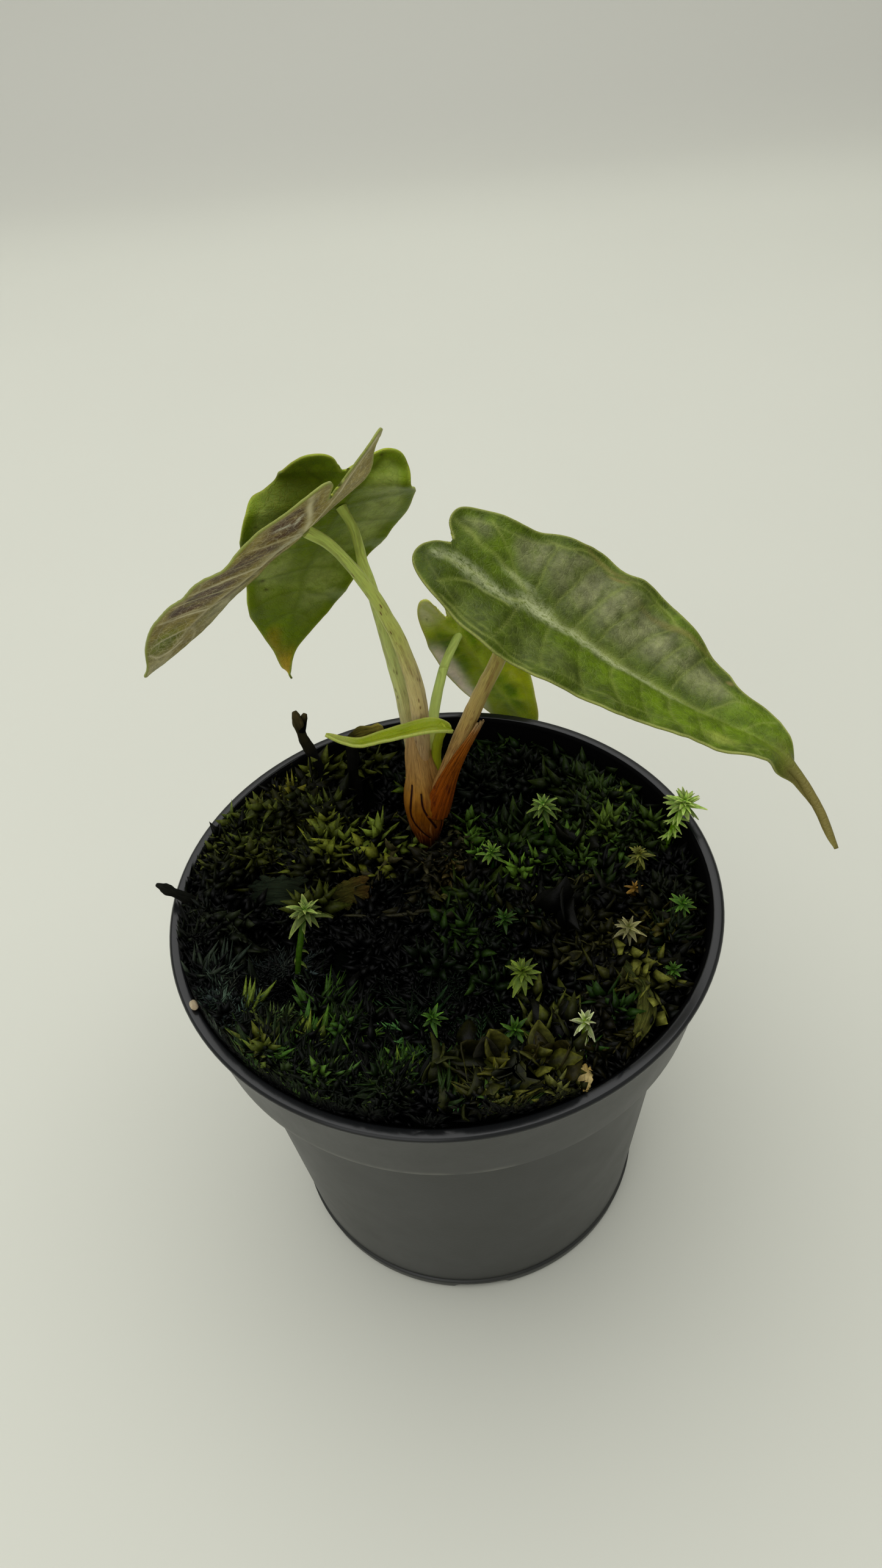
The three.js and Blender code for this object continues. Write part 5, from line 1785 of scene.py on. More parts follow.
class Ground:
    """The height of the moss bed, with the same tussocks as its solid."""

    EDGE = 42.36 - 0.3

    def __init__(self) -> None:
        """Lays out the large tussocks one by one and the others by the same draws as the solid."""
        draw = Draw(2214)
        self.tussocks = [
            (-24, 22, 6, 1.8), (-15, 13, 5, 1.2), (-27, 9, 6, 1.0), (24, -22, 6, 1.4), (7, -36, 5, 1.8),
            (-11, 27, 5.5, -5),
        ]
        for _ in range(46):
            angle = draw.between(0, 2 * math.pi)
            distance = math.sqrt(draw.next()) * 38
            radius = draw.between(2.6, 5)
            height = draw.between(-1.5, 1.5)
            self.tussocks.append((distance * math.cos(angle), distance * math.sin(angle), radius, height))

    def height(self, x: Array, y: Array) -> Array:
        """The bed's height.

        Args:
            x: the places' x.
            y: the places' y.

        Returns:
            The height at each place.
        """
        z = 71.4 - 0.05 * y
        for at_x, at_y, radius, rise in self.tussocks:
            z = z + rise * np.exp(-((x - at_x) ** 2 + (y - at_y) ** 2) / radius**2)
        edge = np.clip((np.hypot(x, y) - 36) / (self.EDGE - 36), 0, 1)
        return z - 1.4 * edge**2


def leaflet(length: float, width: float, thickness: float, bend: float = 0.0) -> Form:
    """A closed pointed leaflet of eight faces, widest below its middle, that stands along +Z.

    Args:
        length: its length.
        width: its width at its widest.
        thickness: its thickness there.
        bend: how far its tip leans over, as a share of its length.

    Returns:
        The leaflet.
    """
    deselect()
    bpy.ops.mesh.primitive_cone_add(
        vertices=4, radius1=0.5 * MM, radius2=0, depth=MM, end_fill_type="TRIFAN", location=(0, 0, 0.5 * MM)
    )
    piece = bpy.context.object
    bpy.ops.object.transform_apply(location=True, rotation=True, scale=True)
    spots = points_of(piece)
    spots[:, 2] = np.where(np.hypot(spots[:, 0], spots[:, 1]) > 0.1, 0.36, spots[:, 2])
    shade = spots[:, 2].copy()
    spots = spots * [width, thickness, length]
    spots[:, 1] += bend * length * shade**2
    set_points(piece, spots)
    return Form.of(piece, shade)


def needle(length: float, width: float, bend: float) -> Form:
    """A closed slim blade of nine faces, widest at a third of its height.

    Args:
        length: its length.
        width: its width near its foot.
        bend: how far its tip leans over, as a share of its length.

    Returns:
        The blade.
    """
    deselect()
    bpy.ops.mesh.primitive_cone_add(
        vertices=3, radius1=0.5 * MM, radius2=0, depth=MM, location=(0, 0, 0.5 * MM)
    )
    piece = bpy.context.object
    bpy.ops.object.transform_apply(location=True, rotation=True, scale=True)
    with editing(piece):
        bpy.ops.mesh.bisect(plane_co=(0, 0, 0.35 * MM), plane_no=(0, 0, 1))
    spots = points_of(piece)
    shade = spots[:, 2].copy()
    swell = np.where(shade < 0.1, 0.45, np.where(shade < 0.6, 1.55, 1.0))
    spots = spots * np.stack([swell * width, 0.35 * swell * width, np.full(len(spots), length)], axis=1)
    spots[:, 1] += bend * length * shade**2
    set_points(piece, spots)
    return Form.of(piece, shade)


class Frond(Enum):
    """The kinds of growth in the bed."""

    SPRIG = "sprig"
    STRAND = "strand"
    FEATHER = "feather"
    BLADES = "blades"
    CURLS = "curls"


SPRIG, STRAND, FEATHER, BLADES, CURLS = Frond


@dataclass
class Fronds:
    """A few modelled fronds of each kind, ready to be copied."""

    seed: int = 5
    versions: int = 4
    forms: dict[Frond, list[Form]] = field(default_factory=dict)

    def __post_init__(self) -> None:
        """Models the fronds of every kind in order."""
        rng = np.random.default_rng(self.seed)
        makers = (self._sprig, self._strand, self._feather, self._blades, self._curls)
        for kind, make in zip(Frond, makers):
            self.forms[kind] = [make(rng) for _ in range(self.versions)]

    @staticmethod
    def _sprig(rng: np.random.Generator) -> Form:
        """Models a small upright star of broad pointed leaflets in three tiers.

        Args:
            rng: the source of its chances.

        Returns:
            The star.
        """
        parts = []
        for tier, (count, tilt, height) in enumerate(((5, 1.35, 0.5), (4, 0.95, 1.2), (3, 0.45, 1.8))):
            for number in range(count):
                angle = 2 * math.pi * (number + 0.37 * tier) / count + rng.uniform(-0.35, 0.35)
                lean = tilt + rng.uniform(-0.25, 0.25)
                blade = leaflet(rng.uniform(1.9, 3.1), rng.uniform(0.9, 1.35), 0.35, rng.uniform(-0.3, 0.1))
                parts.append(blade.moved(turn_to(ray(lean, angle), angle), (0, 0, height)))
        return Form.joined(parts)

    @staticmethod
    def _strand(rng: np.random.Generator) -> Form:
        """Models a lying strand with leaflets that overlap along it like scales.

        Args:
            rng: the source of its chances.

        Returns:
            The strand, along +X.
        """
        parts = []
        bow, lift, count = rng.uniform(-2.2, 2.2), rng.uniform(0.3, 1.6), 15
        for number in range(count):
            share = number / (count - 1)
            place = (8.4 * share - 4.2, bow * math.sin(math.pi * share), lift * math.sin(math.pi * share))
            angle = number * 2.4
            spread = 0.75 + 0.45 * share
            sway = spread * math.cos(angle) + bow * 0.4 * math.cos(math.pi * share)
            aim = np.array([1.0, sway, 0.6 * spread * math.sin(angle) + 0.3])
            blade = leaflet(rng.uniform(1.8, 2.8) * (0.75 + 0.4 * share), rng.uniform(1.0, 1.5), 0.4)
            parts.append(blade.moved(turn_to(aim, rng.uniform(0, 3)), place))
        return Form.joined(parts)

    @staticmethod
    def _feather(rng: np.random.Generator) -> Form:
        """Models a flat feather of thin needles.

        Args:
            rng: the source of its chances.

        Returns:
            The feather, along +X.
        """
        parts = [leaflet(5.0, 0.3, 0.3).moved(turn_to(np.array([1.0, 0, 0.25])), (-1.9, 0, 0))]
        for number in range(14):
            share = number / 13
            side = 1 if number % 2 else -1
            aim = np.array([1.0, side * rng.uniform(0.5, 1.1), rng.uniform(0.1, 0.5)])
            blade = leaflet(rng.uniform(1.4, 2.4) * (1 - 0.35 * share), 0.3, 0.16, 0.15)
            parts.append(blade.moved(turn_to(aim), (4.8 * share - 2.0, 0, 1.15 * share)))
        return Form.joined(parts)

    @staticmethod
    def _blades(rng: np.random.Generator) -> Form:
        """Models a tuft of long narrow leaves that lean one way.

        Args:
            rng: the source of its chances.

        Returns:
            The tuft.
        """
        parts = []
        for _ in range(6):
            aim = np.array([rng.uniform(0.4, 1.6), rng.uniform(-0.9, 0.9), rng.uniform(0.5, 1.1)])
            blade = needle(rng.uniform(2.6, 5.0), rng.uniform(0.7, 1.25), rng.uniform(-0.3, 0.35))
            turn, place = turn_to(aim, rng.uniform(0, 3)), rng.uniform(-0.9, 0.9, 3) * [1, 1, 0.2]
            parts.append(blade.moved(turn, place))
        return Form.joined(parts)

    @staticmethod
    def _curls(rng: np.random.Generator) -> Form:
        """Models a loose bunch of broad leaves that curl over.

        Args:
            rng: the source of its chances.

        Returns:
            The bunch.
        """
        parts = []
        for _ in range(4):
            form = hollow_leaf(rng.uniform(0.24, 0.36), rng.uniform(0.4, 1.0), rng.uniform(-1.3, 1.3))
            aim = np.array([rng.uniform(-1.2, 1.2), rng.uniform(-1.2, 1.2), rng.uniform(0.5, 1.1)])
            turn, place = turn_to(aim, rng.uniform(0, 6)), rng.uniform(-1.4, 1.4, 3) * [1, 1, 0.2]
            parts.append(form.moved(turn, place, rng.uniform(2.6, 4.6)))
        return Form.joined(parts)


def hollow_leaf(width: float, bend: float, twist: float = 0.0) -> Form:
    """A closed pointed leaf one millimetre long, hollow like a boat, that stands along +Z.

    Args:
        width: half its width at its widest, as a share of its length.
        bend: how far its tip leans over, as a share of its length.
        twist: how far its tip turns, in radians.

    Returns:
        The leaf, with its shade rising towards the tip.
    """
    grid = Grid("hollow_leaf", 2, 5)
    across, along = grid.across, grid.along
    half = width * np.sin(math.pi * np.clip(along * 0.84 + 0.16, 0, 1)) ** 0.8 * (1 - 0.6 * along) + 0.008
    side = (2 * across - 1) * half * 1.6
    turn, hollow = twist * along, -0.8 * np.abs(side)
    x = side * np.cos(turn) - hollow * np.sin(turn)
    y = side * np.sin(turn) + hollow * np.cos(turn) - bend * along**2
    set_points(grid.piece, np.stack([x, y, along * (1 - 0.3 * bend * along)], axis=1))
    thicken(grid.piece, 0.045)
    height = np.clip(points_of(grid.piece)[:, 2], 0, 1)
    at_edge = np.arange(len(height)) % 3 != 1
    shade = np.where(at_edge, np.maximum(height**1.6, 0.42 * np.clip(2.5 * height, 0, 1)), 0.6 * height**3)
    return Form.of(grid.piece, shade)


@dataclass(frozen=True)
class MossZone:
    """A part of the bed with its own growth: its middle, its reach and its mix of kinds and colours."""

    x: float
    y: float
    reach: float
    count: int
    kinds: dict[Frond, float]
    # deep is the fronds' colour at their feet, near black as painted shade; tip is their colour at their
    # tips.
    deep: str
    tip: str
    size: float = 1.0
    lift: float = 0.0


def edge_zones() -> tuple[MossZone, ...]:
    """The small zones that line the rim from the left round the front.

    Returns:
        The zones, each with the growth that the bed has beside it.
    """
    spots = (
        (-40.6, -8, "3c4832"), (-38.6, -15, "405246"), (-35, -22.5, "425648"), (-30.5, -28.4, "4a6234"),
        (-25, -33.4, "4e6c32"), (-18, -37.4, "486a2c"), (-11.5, -40, "50702e"), (-4, -41.2, "4e702e"),
        (4, -41.4, "5c6428"), (12, -40, "5c5e28"), (20, -36.6, "50542a"),
    )
    zones = []
    for x, y, tip in spots:
        right = {BLADES: 0.6, SPRIG: 0.4} if x < 6 else {SPRIG: 0.5, STRAND: 0.5}
        kinds = {FEATHER: 0.5, BLADES: 0.5} if x < -30 else right
        zones.append(MossZone(x, y, 3.4, 13, kinds, "020301", tip, 1.1, 0.7))
    return tuple(zones)


@dataclass(frozen=True)
class MossBed:
    """The moss that fills the pot: a dark bed, painted near black as the shade between the fronds, and the
    fronds that lie and stand on it.
    """

    ground: Ground
    clearings: tuple[tuple[float, float, float, float], ...]
    zones: tuple[MossZone, ...] = (
        # The first zone is a low layer of near-black fronds, painted shade under the tufts above it.
        MossZone(0, 0, 60, 300, {STRAND: 0.55, SPRIG: 0.45}, "010201", "0c1208", 1.3, -0.8),
        MossZone(-23, 24, 16, 45, {STRAND: 0.5, SPRIG: 0.5}, "040501", "5e6a20", 1.6, 0.6),
        MossZone(-28, 8, 13, 36, {STRAND: 0.65, SPRIG: 0.35}, "030401", "3a4a1c", 1.54, 0.2),
        MossZone(-38.5, 7, 4, 12, {SPRIG: 0.8, STRAND: 0.2}, "040602", "8c9438", 1.41, 0.9),
        MossZone(-38, 14, 8, 13, {SPRIG: 0.6, STRAND: 0.4}, "030401", "444e1c", 1.41, 0.4),
        MossZone(-31, -17, 10, 80, {FEATHER: 0.9, BLADES: 0.1}, "020303", "384440", 1.0, 0.3),
        MossZone(-19, -27, 12, 80, {BLADES: 0.6, SPRIG: 0.4}, "020301", "3a5e1c", 1.2, 0.4),
        MossZone(-26, -29, 6, 12, {SPRIG: 0.8, BLADES: 0.2}, "040601", "6c7c2a", 1.22, 0.6),
        MossZone(-11, -34, 9, 46, {BLADES: 0.5, SPRIG: 0.5}, "020301", "40661e", 1.2, 0.5),
        MossZone(-3, -29, 9, 66, {FEATHER: 0.9, BLADES: 0.1}, "010301", "40703a", 1.1, 0.6),
        MossZone(2, -36.5, 6, 11, {CURLS: 0.6, SPRIG: 0.4}, "060701", "90982e", 1.3, 1.0),
        MossZone(10.5, -34.5, 6, 9, {CURLS: 0.65, STRAND: 0.35}, "050601", "868a2e", 1.3, 0.9),
        MossZone(22, -28, 10, 16, {STRAND: 0.85, CURLS: 0.03, SPRIG: 0.12}, "030401", "646824", 1.45, 0.5),
        MossZone(28, -17, 12, 19, {STRAND: 0.86, CURLS: 0.02, SPRIG: 0.12}, "030401", "5c6024", 1.5, 0.2),
        MossZone(12, -14, 15, 36, {SPRIG: 0.65, STRAND: 0.35}, "010301", "385e1a", 1.6, 0.1),
        MossZone(13, 10, 14, 38, {SPRIG: 0.7, STRAND: 0.3}, "010301", "486a1e", 1.6, 0.2),
        MossZone(24, 22, 14, 44, {SPRIG: 0.55, STRAND: 0.45}, "010301", "4e6c24", 1.6, 0.2),
        MossZone(9, 32, 12, 22, {STRAND: 0.75, SPRIG: 0.25}, "010201", "345216", 1.5, -0.1),
        MossZone(33, 0, 11, 34, {STRAND: 0.35, SPRIG: 0.65}, "010301", "527020", 1.5, 0.3),
        MossZone(21, -2, 11, 17, {STRAND: 0.97, CURLS: 0.03}, "030301", "5c6026", 1.5, 0.4),
        MossZone(-6, -10, 15, 30, {BLADES: 0.4, STRAND: 0.6}, "010101", "1c280e", 1.15, -0.5),
        MossZone(-2, 9, 7, 10, {STRAND: 0.9, SPRIG: 0.1}, "040401", "46482a", 1.22, 0.5),
        MossZone(-0.8, 11.6, 2.6, 7, {STRAND: 0.6, SPRIG: 0.4}, "040301", "5e5830", 0.7, 1.4),
        MossZone(-26.9, 24.1, 3, 14, {SPRIG: 1.0}, "050801", "4c6020", 0.6, 1.7),
        MossZone(-39.6, -2, 4, 9, {STRAND: 0.6, SPRIG: 0.4}, "020301", "303820", 1.28, 0.2),
        MossZone(-35, -20, 5, 22, {FEATHER: 0.6, SPRIG: 0.4}, "020302", "384440", 1.0, 0.3),
        MossZone(-29, -29, 4, 16, {BLADES: 0.5, SPRIG: 0.5}, "020301", "485420", 1.0, 0.3),
        MossZone(-20, -35.6, 5, 22, {BLADES: 0.5, SPRIG: 0.5}, "020301", "42601e", 1.1, 0.3),
        MossZone(-9, -39.4, 5, 22, {BLADES: 0.4, SPRIG: 0.6}, "020301", "4e6c24", 1.1, 0.4),
        MossZone(-38.6, 17, 5, 13, {SPRIG: 0.6, STRAND: 0.4}, "030401", "424c1e", 1.28, 0.3),
        MossZone(-33, 26, 5, 13, {SPRIG: 0.5, STRAND: 0.5}, "030401", "4c561e", 1.28, 0.3),
        *edge_zones(),
    )
    steps: int = 220
    rings: int = 64
    wall: float = 42.35
    ceiling: float = 82.0

    def _bed(self) -> Piece:
        """Builds the bed itself, spun from its section and lifted to the tussocks' heights.

        Returns:
            The bed.
        """
        top = 100.0
        section = [(0.0, 3.7), (31.5, 3.7), (37.3, 60.6), (40.6, 61.8)]
        section += [(self.ground.EDGE * ring / self.rings, top) for ring in range(self.rings, -1, -1)]
        piece = spun("moss_ground", section, self.steps)
        spots = points_of(piece)
        x, y = spots[:, 0], spots[:, 1]
        rough = 0.9 * Grain(8).layered(spots[:, :2], 2.6, 4)
        relief = self.ground.height(x, y) - 1.6 + rough + 0.6 * self.brim(x, y)
        spots[:, 2] = np.where(spots[:, 2] > top - 1, relief, spots[:, 2])
        set_points(piece, spots)
        smooth(piece)
        return piece

    def _place(self, rng: np.random.Generator, zone: MossZone) -> Pair:
        """A place in a zone that is clear of the stem and inside the rim.

        Args:
            rng: the source of its chances.
            zone: the zone.

        Returns:
            The place's x and y.
        """
        while True:
            if zone.reach > 50:
                angle, distance = rng.uniform(0, 2 * math.pi), math.sqrt(rng.uniform()) * 41.6
                x, y = distance * math.cos(angle), distance * math.sin(angle)
            else:
                x, y = (middle + rng.normal() * zone.reach * 0.5 for middle in (zone.x, zone.y))
            away = math.hypot(x, y)
            leeward = (x * 0.75 + y * 0.66) / max(away, 1e-6) < 0.3
            if away < (42.0 if leeward else 39.8) and math.hypot(x + 2.2, (y - 16.4) * 0.9) > 4.2:
                return x, y

    @staticmethod
    def brim(x: Array, y: Array) -> Array:
        """How far the moss climbs towards the lip, most at the left and the front.

        Args:
            x: the places' x.
            y: the places' y.

        Returns:
            The rise at each place.
        """
        away = np.maximum(np.hypot(x, y), 1e-6)
        side = soft_step(-0.3, 0.7, -(x * 0.75 + y * 0.66) / away)
        return (0.8 + 3.9 * side) * soft_step(33, 41.5, away)

    def _scatter(self, heap: Heap, fronds: Fronds, zone: MossZone, rng: np.random.Generator) -> None:
        """Adds a zone's tufts to a heap, with dark gaps between them and painted shade on the low ones.

        Args:
            heap: the heap that grows.
            fronds: the modelled fronds.
            zone: the zone.
            rng: the source of its chances.
        """
        clumps = Grain(31)
        for _ in range(zone.count):
            x, y = self._place(rng, zone)
            clump = float(clumps.layered(np.array([[x, y]]), 5.0, 2)[0])
            if clump < -0.05 and rng.uniform() < 0.75:
                continue
            # Painted light and shade: tufts that stand up are made lighter, low ones and those towards the
            # front darker; the random factor is the fronds' own tone.
            light = 0.05 + 1.25 * float(soft_step(-0.15, 0.5, np.array(clump)))
            light *= 0.05 + 1.9 * rng.uniform() ** 2.8
            light *= 0.55 + 0.35 * float(soft_step(-5, 30, np.array(y)))
            hue, heading = abs(rng.normal()) * 0.16 - 0.05, rng.uniform(0, 2 * math.pi)
            for _ in range(int(rng.integers(2, 5))):
                aim = heading + rng.normal() * 0.8
                far = rng.uniform(0.5, 2.8)
                spot = (x + far * math.cos(aim), y + far * math.sin(aim))
                self._plant(heap, fronds, zone, spot, aim, clump, light * rng.uniform(0.6, 1.2), hue, rng)

    def _plant(
        self, heap: Heap, fronds: Fronds, zone: MossZone, spot: Pair, aim: float, clump: float, light: float,
        hue: float, rng: np.random.Generator,
    ) -> None:
        """Adds one frond to a heap.

        Args:
            heap: the heap that grows.
            fronds: the modelled fronds.
            zone: the part of the bed that the frond is in.
            spot: its middle, in x and y.
            aim: the way it runs, in radians.
            clump: how much its tuft stands up, from about -1 to 1.
            light: how light it is: its own tone with painted light and shade, darker in the low gaps and
                towards the front.
            hue: how far its colour leans from green to yellow.
            rng: the source of its chances.
        """
        kinds, weights = zip(*zone.kinds.items())
        kind = kinds[int(rng.choice(len(kinds), p=np.array(weights) / sum(weights)))]
        form = fronds.forms[kind][int(rng.integers(fronds.versions))]
        tilt = rng.normal() * (0.55 if kind is SPRIG else 0.3)
        turn = np.array(Matrix.Rotation(aim, 3, "Z") @ Matrix.Rotation(tilt, 3, "X"))
        limit = 37.4 if kind is CURLS else 42.6 if spot[0] * 0.75 + spot[1] * 0.66 < 0 else 39.6
        inward = min(1.0, limit / max(math.hypot(*spot), 1e-6))
        x, y = spot[0] * inward, spot[1] * inward
        ground = float(self.ground.height(np.array(x), np.array(y)) + self.brim(np.array(x), np.array(y)))
        z = ground + zone.lift + 1.4 * clump + rng.uniform(-0.9, 0.5) - (1.2 if kind is SPRIG else 0)
        moved = form.moved(turn, (x, y, z), zone.size * rng.uniform(0.65, 1.25))
        for clear_x, clear_y, reach, top in self.clearings:
            if math.hypot(x - clear_x, y - clear_y) < reach:
                moved.points[:, 2] -= max(0.0, float(moved.points[:, 2].max()) - top)
        radius = np.hypot(moved.points[:, 0], moved.points[:, 1])
        moved.points[:, 2] = np.minimum(moved.points[:, 2], self.ceiling)
        wall = self.wall + 0.7 * soft_step(73.5, 75.5, moved.points[:, 2])
        moved.points[:, :2] *= np.minimum(1, wall / np.maximum(radius, 1e-6))[:, None]
        # Painted shade: each frond darkens towards the bed, where the fronds shade each other.
        painted_depth_shade = np.clip((moved.points[:, 2] - ground + 0.7) / 2.8, 0, 1) ** 1.5
        moved.shade = moved.shade * painted_depth_shade
        heap.add(moved, rgb(zone.deep) * light, rgb(zone.tip) * light * np.array([1 + hue, 1, 1 - hue]))

    def build(self, fronds: Fronds) -> None:
        """Builds the bed and its fronds and dresses them.

        Args:
            fronds: the modelled fronds.
        """
        skin = Skin("moss_ground", Roughness=0.9, Specular_IOR_Level=0.02)
        place = skin.object_place()
        patch = skin.band(skin.noise(place, 260.0, 5.0, 0.7), 0.42, 0.66)
        grit = skin.band(skin.noise(place, 1400.0, 3.0, 0.7), 0.4, 0.7)
        # Painted shade: the bed is near black, as the shade in the gaps between the fronds; the grit is its
        # own speckle.
        colour = skin.mix(skin.times(grit, 0.15), skin.mix(patch, "010201", "060a04"), "14160c")
        settle(self._bed(), "moss", ["moss_bed"], [skin.dressed(colour, grit, 0.3)])
        finish = TintFinish("moss_fronds", roughness=0.45, dapple=0.6, sheen=0.08).material()
        rng = np.random.default_rng(77)
        groups = {
            "moss_low": self.zones[:1],
            "moss_left": tuple(zone for zone in self.zones[1:] if zone.x < -10),
            "moss_right": tuple(zone for zone in self.zones[1:] if zone.x >= -10),
        }
        for name, zones in groups.items():
            heap = Heap()
            for zone in zones:
                self._scatter(heap, fronds, zone, rng)
            settle(heap.piece(name), "moss", ["moss_bed"], [finish])
        DeadStrands(self).build(finish)


@dataclass(frozen=True)
class DeadStrand:
    """A dead strand that lies over the moss: its line in x and y, its thickness and its colours."""

    line: tuple[Pair, ...]
    radius: float
    base: str
    tip: str
    leaves: int = 10
    lift: float = 1.3


@dataclass(frozen=True)
class DeadStrands:
    """The dead strands, gathered in one piece of the moss."""

    moss: MossBed
    strands: tuple[DeadStrand, ...] = (
        DeadStrand(((-5.6, 15.0), (-6.7, 13.8), (-10.2, 8.4), (-14.4, 3.4)), 0.4, "18160a", "4e4a28", 12),
        DeadStrand(((0.6, 13.6), (1.2, 12.0), (2.2, 7.5)), 0.45, "1c1a0c", "58522e", 8, 1.8),
        DeadStrand(((-3.4, 12.4), (-3.1, 10.4), (-2.4, 5.6)), 0.4, "16140a", "46422a", 7, 1.8),
        DeadStrand(((-2.6, 3.2), (1.3, 0.4), (5.2, -0.7)), 0.32, "1c1c0a", "565424", 6),
        DeadStrand(((11.5, -4.0), (14.9, -1.8), (20.8, 0.2), (26.3, 3.3)), 0.5, "1a1a0a", "565428", 16, 2.0),
        DeadStrand(((34.9, -0.6), (37.4, -1.9), (36, -7.2), (35, -10.6)), 0.28, "0a0a06", "2c2a18", 0, 2.8),
        DeadStrand(((-16.9, -0.6), (-8.9, -2.3), (-1.9, -1.8), (4.0, -2.6)), 0.3, "0e0e08", "302e1a", 5),
        DeadStrand(((17, -15.5), (22, -12.4), (26.5, -12.6), (29, -16.4)), 0.4, "14140a", "48461e", 12, 1.8),
        DeadStrand(((20.5, -19.5), (24.5, -20.5), (26.5, -25.0)), 0.35, "16160a", "4c4a20", 10, 1.6),
        DeadStrand(((-31.5, 12.0), (-26.0, 14.0), (-20.5, 12.4)), 0.4, "14140a", "50501e", 12, 1.4),
        DeadStrand(((-19.0, 24.0), (-13.0, 22.5), (-8.5, 24.0)), 0.4, "16160a", "54521e", 12, 1.4),
    )

    def build(self, finish: Material) -> None:
        """Builds the strands and dresses them.

        Args:
            finish: the moss fronds' material.
        """
        heap, rng = Heap(), np.random.default_rng(61)
        leaves = [
            hollow_leaf(rng.uniform(0.14, 0.24), rng.uniform(0.2, 0.9), rng.uniform(-1.0, 1.0))
            for _ in range(4)
        ]
        for number, strand in enumerate(self.strands):
            track = Track(strand.line)
            flat = track.at(np.linspace(0, 99, 9) / 99 * track.length)
            heights = self.moss.ground.height(flat[:, 0], flat[:, 1]) + self.moss.brim(flat[:, 0], flat[:, 1])
            heights += strand.lift + rng.normal(size=9) * 0.35
            points = tuple((x, y, z) for (x, y), z in zip(flat, heights))
            radius = strand.radius
            ends = ((0, 0.5 * radius), (0.3, radius), (0.8, 0.9 * radius), (1, 0.3 * radius))
            stem = Stem(points, ends, sides=7, rows=30, ridges=0.2, bumps=0.45, seed=70 + number)
            tube = stem.build("dead_strand")
            base, tip = rgb(strand.base), rgb(strand.tip)
            shade = np.clip(0.5 + 0.5 * Grain(71 + number).at(points_of(tube), 0.9), 0, 1)
            heap.add(Form.of(tube, shade), base, tip)
            track = Track(points)
            for leaf in range(strand.leaves):
                distance = np.array([track.length * (leaf + 0.5) / strand.leaves])
                side = np.array([rng.normal(), rng.normal(), abs(rng.normal()) * 0.6])
                aim = unit(track.tangent(distance)[0] * 0.8 + 0.8 * unit(side))
                form = leaves[int(rng.integers(4))]
                turn, place = turn_to(aim, rng.uniform(0, 6)), track.at(distance)[0]
                heap.add(form.moved(turn, place, rng.uniform(1.6, 3.2)), base, tip * rng.uniform(0.4, 1.3))
        settle(heap.piece("dead_strands"), "moss", ["moss_bed"], [finish])


# Live shoots


@dataclass(frozen=True)
class Shoot:
    """A live star shoot: where its star stands, where its stem is rooted, its reach and its colours."""

    head: Point
    foot: Point
    reach: float
    base: str
    tip: str
    leaves: int = 26
    droop: float = 0.0
    stem_leaves: int = 8


SHOOTS: tuple[Shoot, ...] = (
    Shoot((-21.5, -8.2, 84), (-25, -14, 68), 4.5, "35560a", "b2ba6a", 22, 0.9, 8),
    Shoot((18.4, 15.4, 78.4), (18.9, 12.5, 67), 4.1, "345e0a", "b0c264", 24, 0.6, 5),
    Shoot((8.6, 8.2, 75.6), (8.6, 6.5, 67), 3.4, "2c5a0a", "9cb850", 20, 0.3, 4),
    Shoot((41.6, 10.6, 80.6), (38, 8.8, 68), 4.5, "6c9c10", "d8e48c", 44, 0.5, 22),
    Shoot((18.4, -31, 81), (17.9, -33.8, 69), 3.5, "6c8420", "e6e4c0", 13, 0.6, 10),
    Shoot((10.8, -18.6, 77.4), (10.6, -20, 68), 4.2, "40560c", "80903a", 30, 0.6, 8),
    Shoot((28, -13, 78.4), (27.6, -13.4, 68), 3.7, "5c5e24", "bcb488", 18, 0.9, 5),
    Shoot((37.4, -8.6, 77.6), (36.6, -8.4, 68), 3.2, "244c06", "648430", 18, 0.4, 4),
    Shoot((31, -2.6, 75.6), (30.6, -2.4, 67), 2.3, "7c5c1c", "b48e40", 14, 0.4, 2),
    Shoot((32.8, 3.6, 76.6), (33.4, 3.0, 67), 3.0, "44480e", "888a40", 26, 0.7, 8),
    Shoot((8.5, -28.4, 76.8), (8.6, -28.6, 68), 3.4, "204206", "587828", 14, 0.2, 4),
    Shoot((-3.4, -24.8, 76.8), (-3.2, -25, 68), 3.1, "244a0c", "5c8028", 16, 0.4, 4),
    Shoot((9.3, -6.6, 75.8), (9.4, -6.8, 67), 3.0, "1a3806", "486824", 18, 0.3, 4),
    Shoot((33.4, -20.6, 77), (33.0, -20.8, 68), 2.8, "204406", "5a7c2c", 18, 0.4, 4),
)


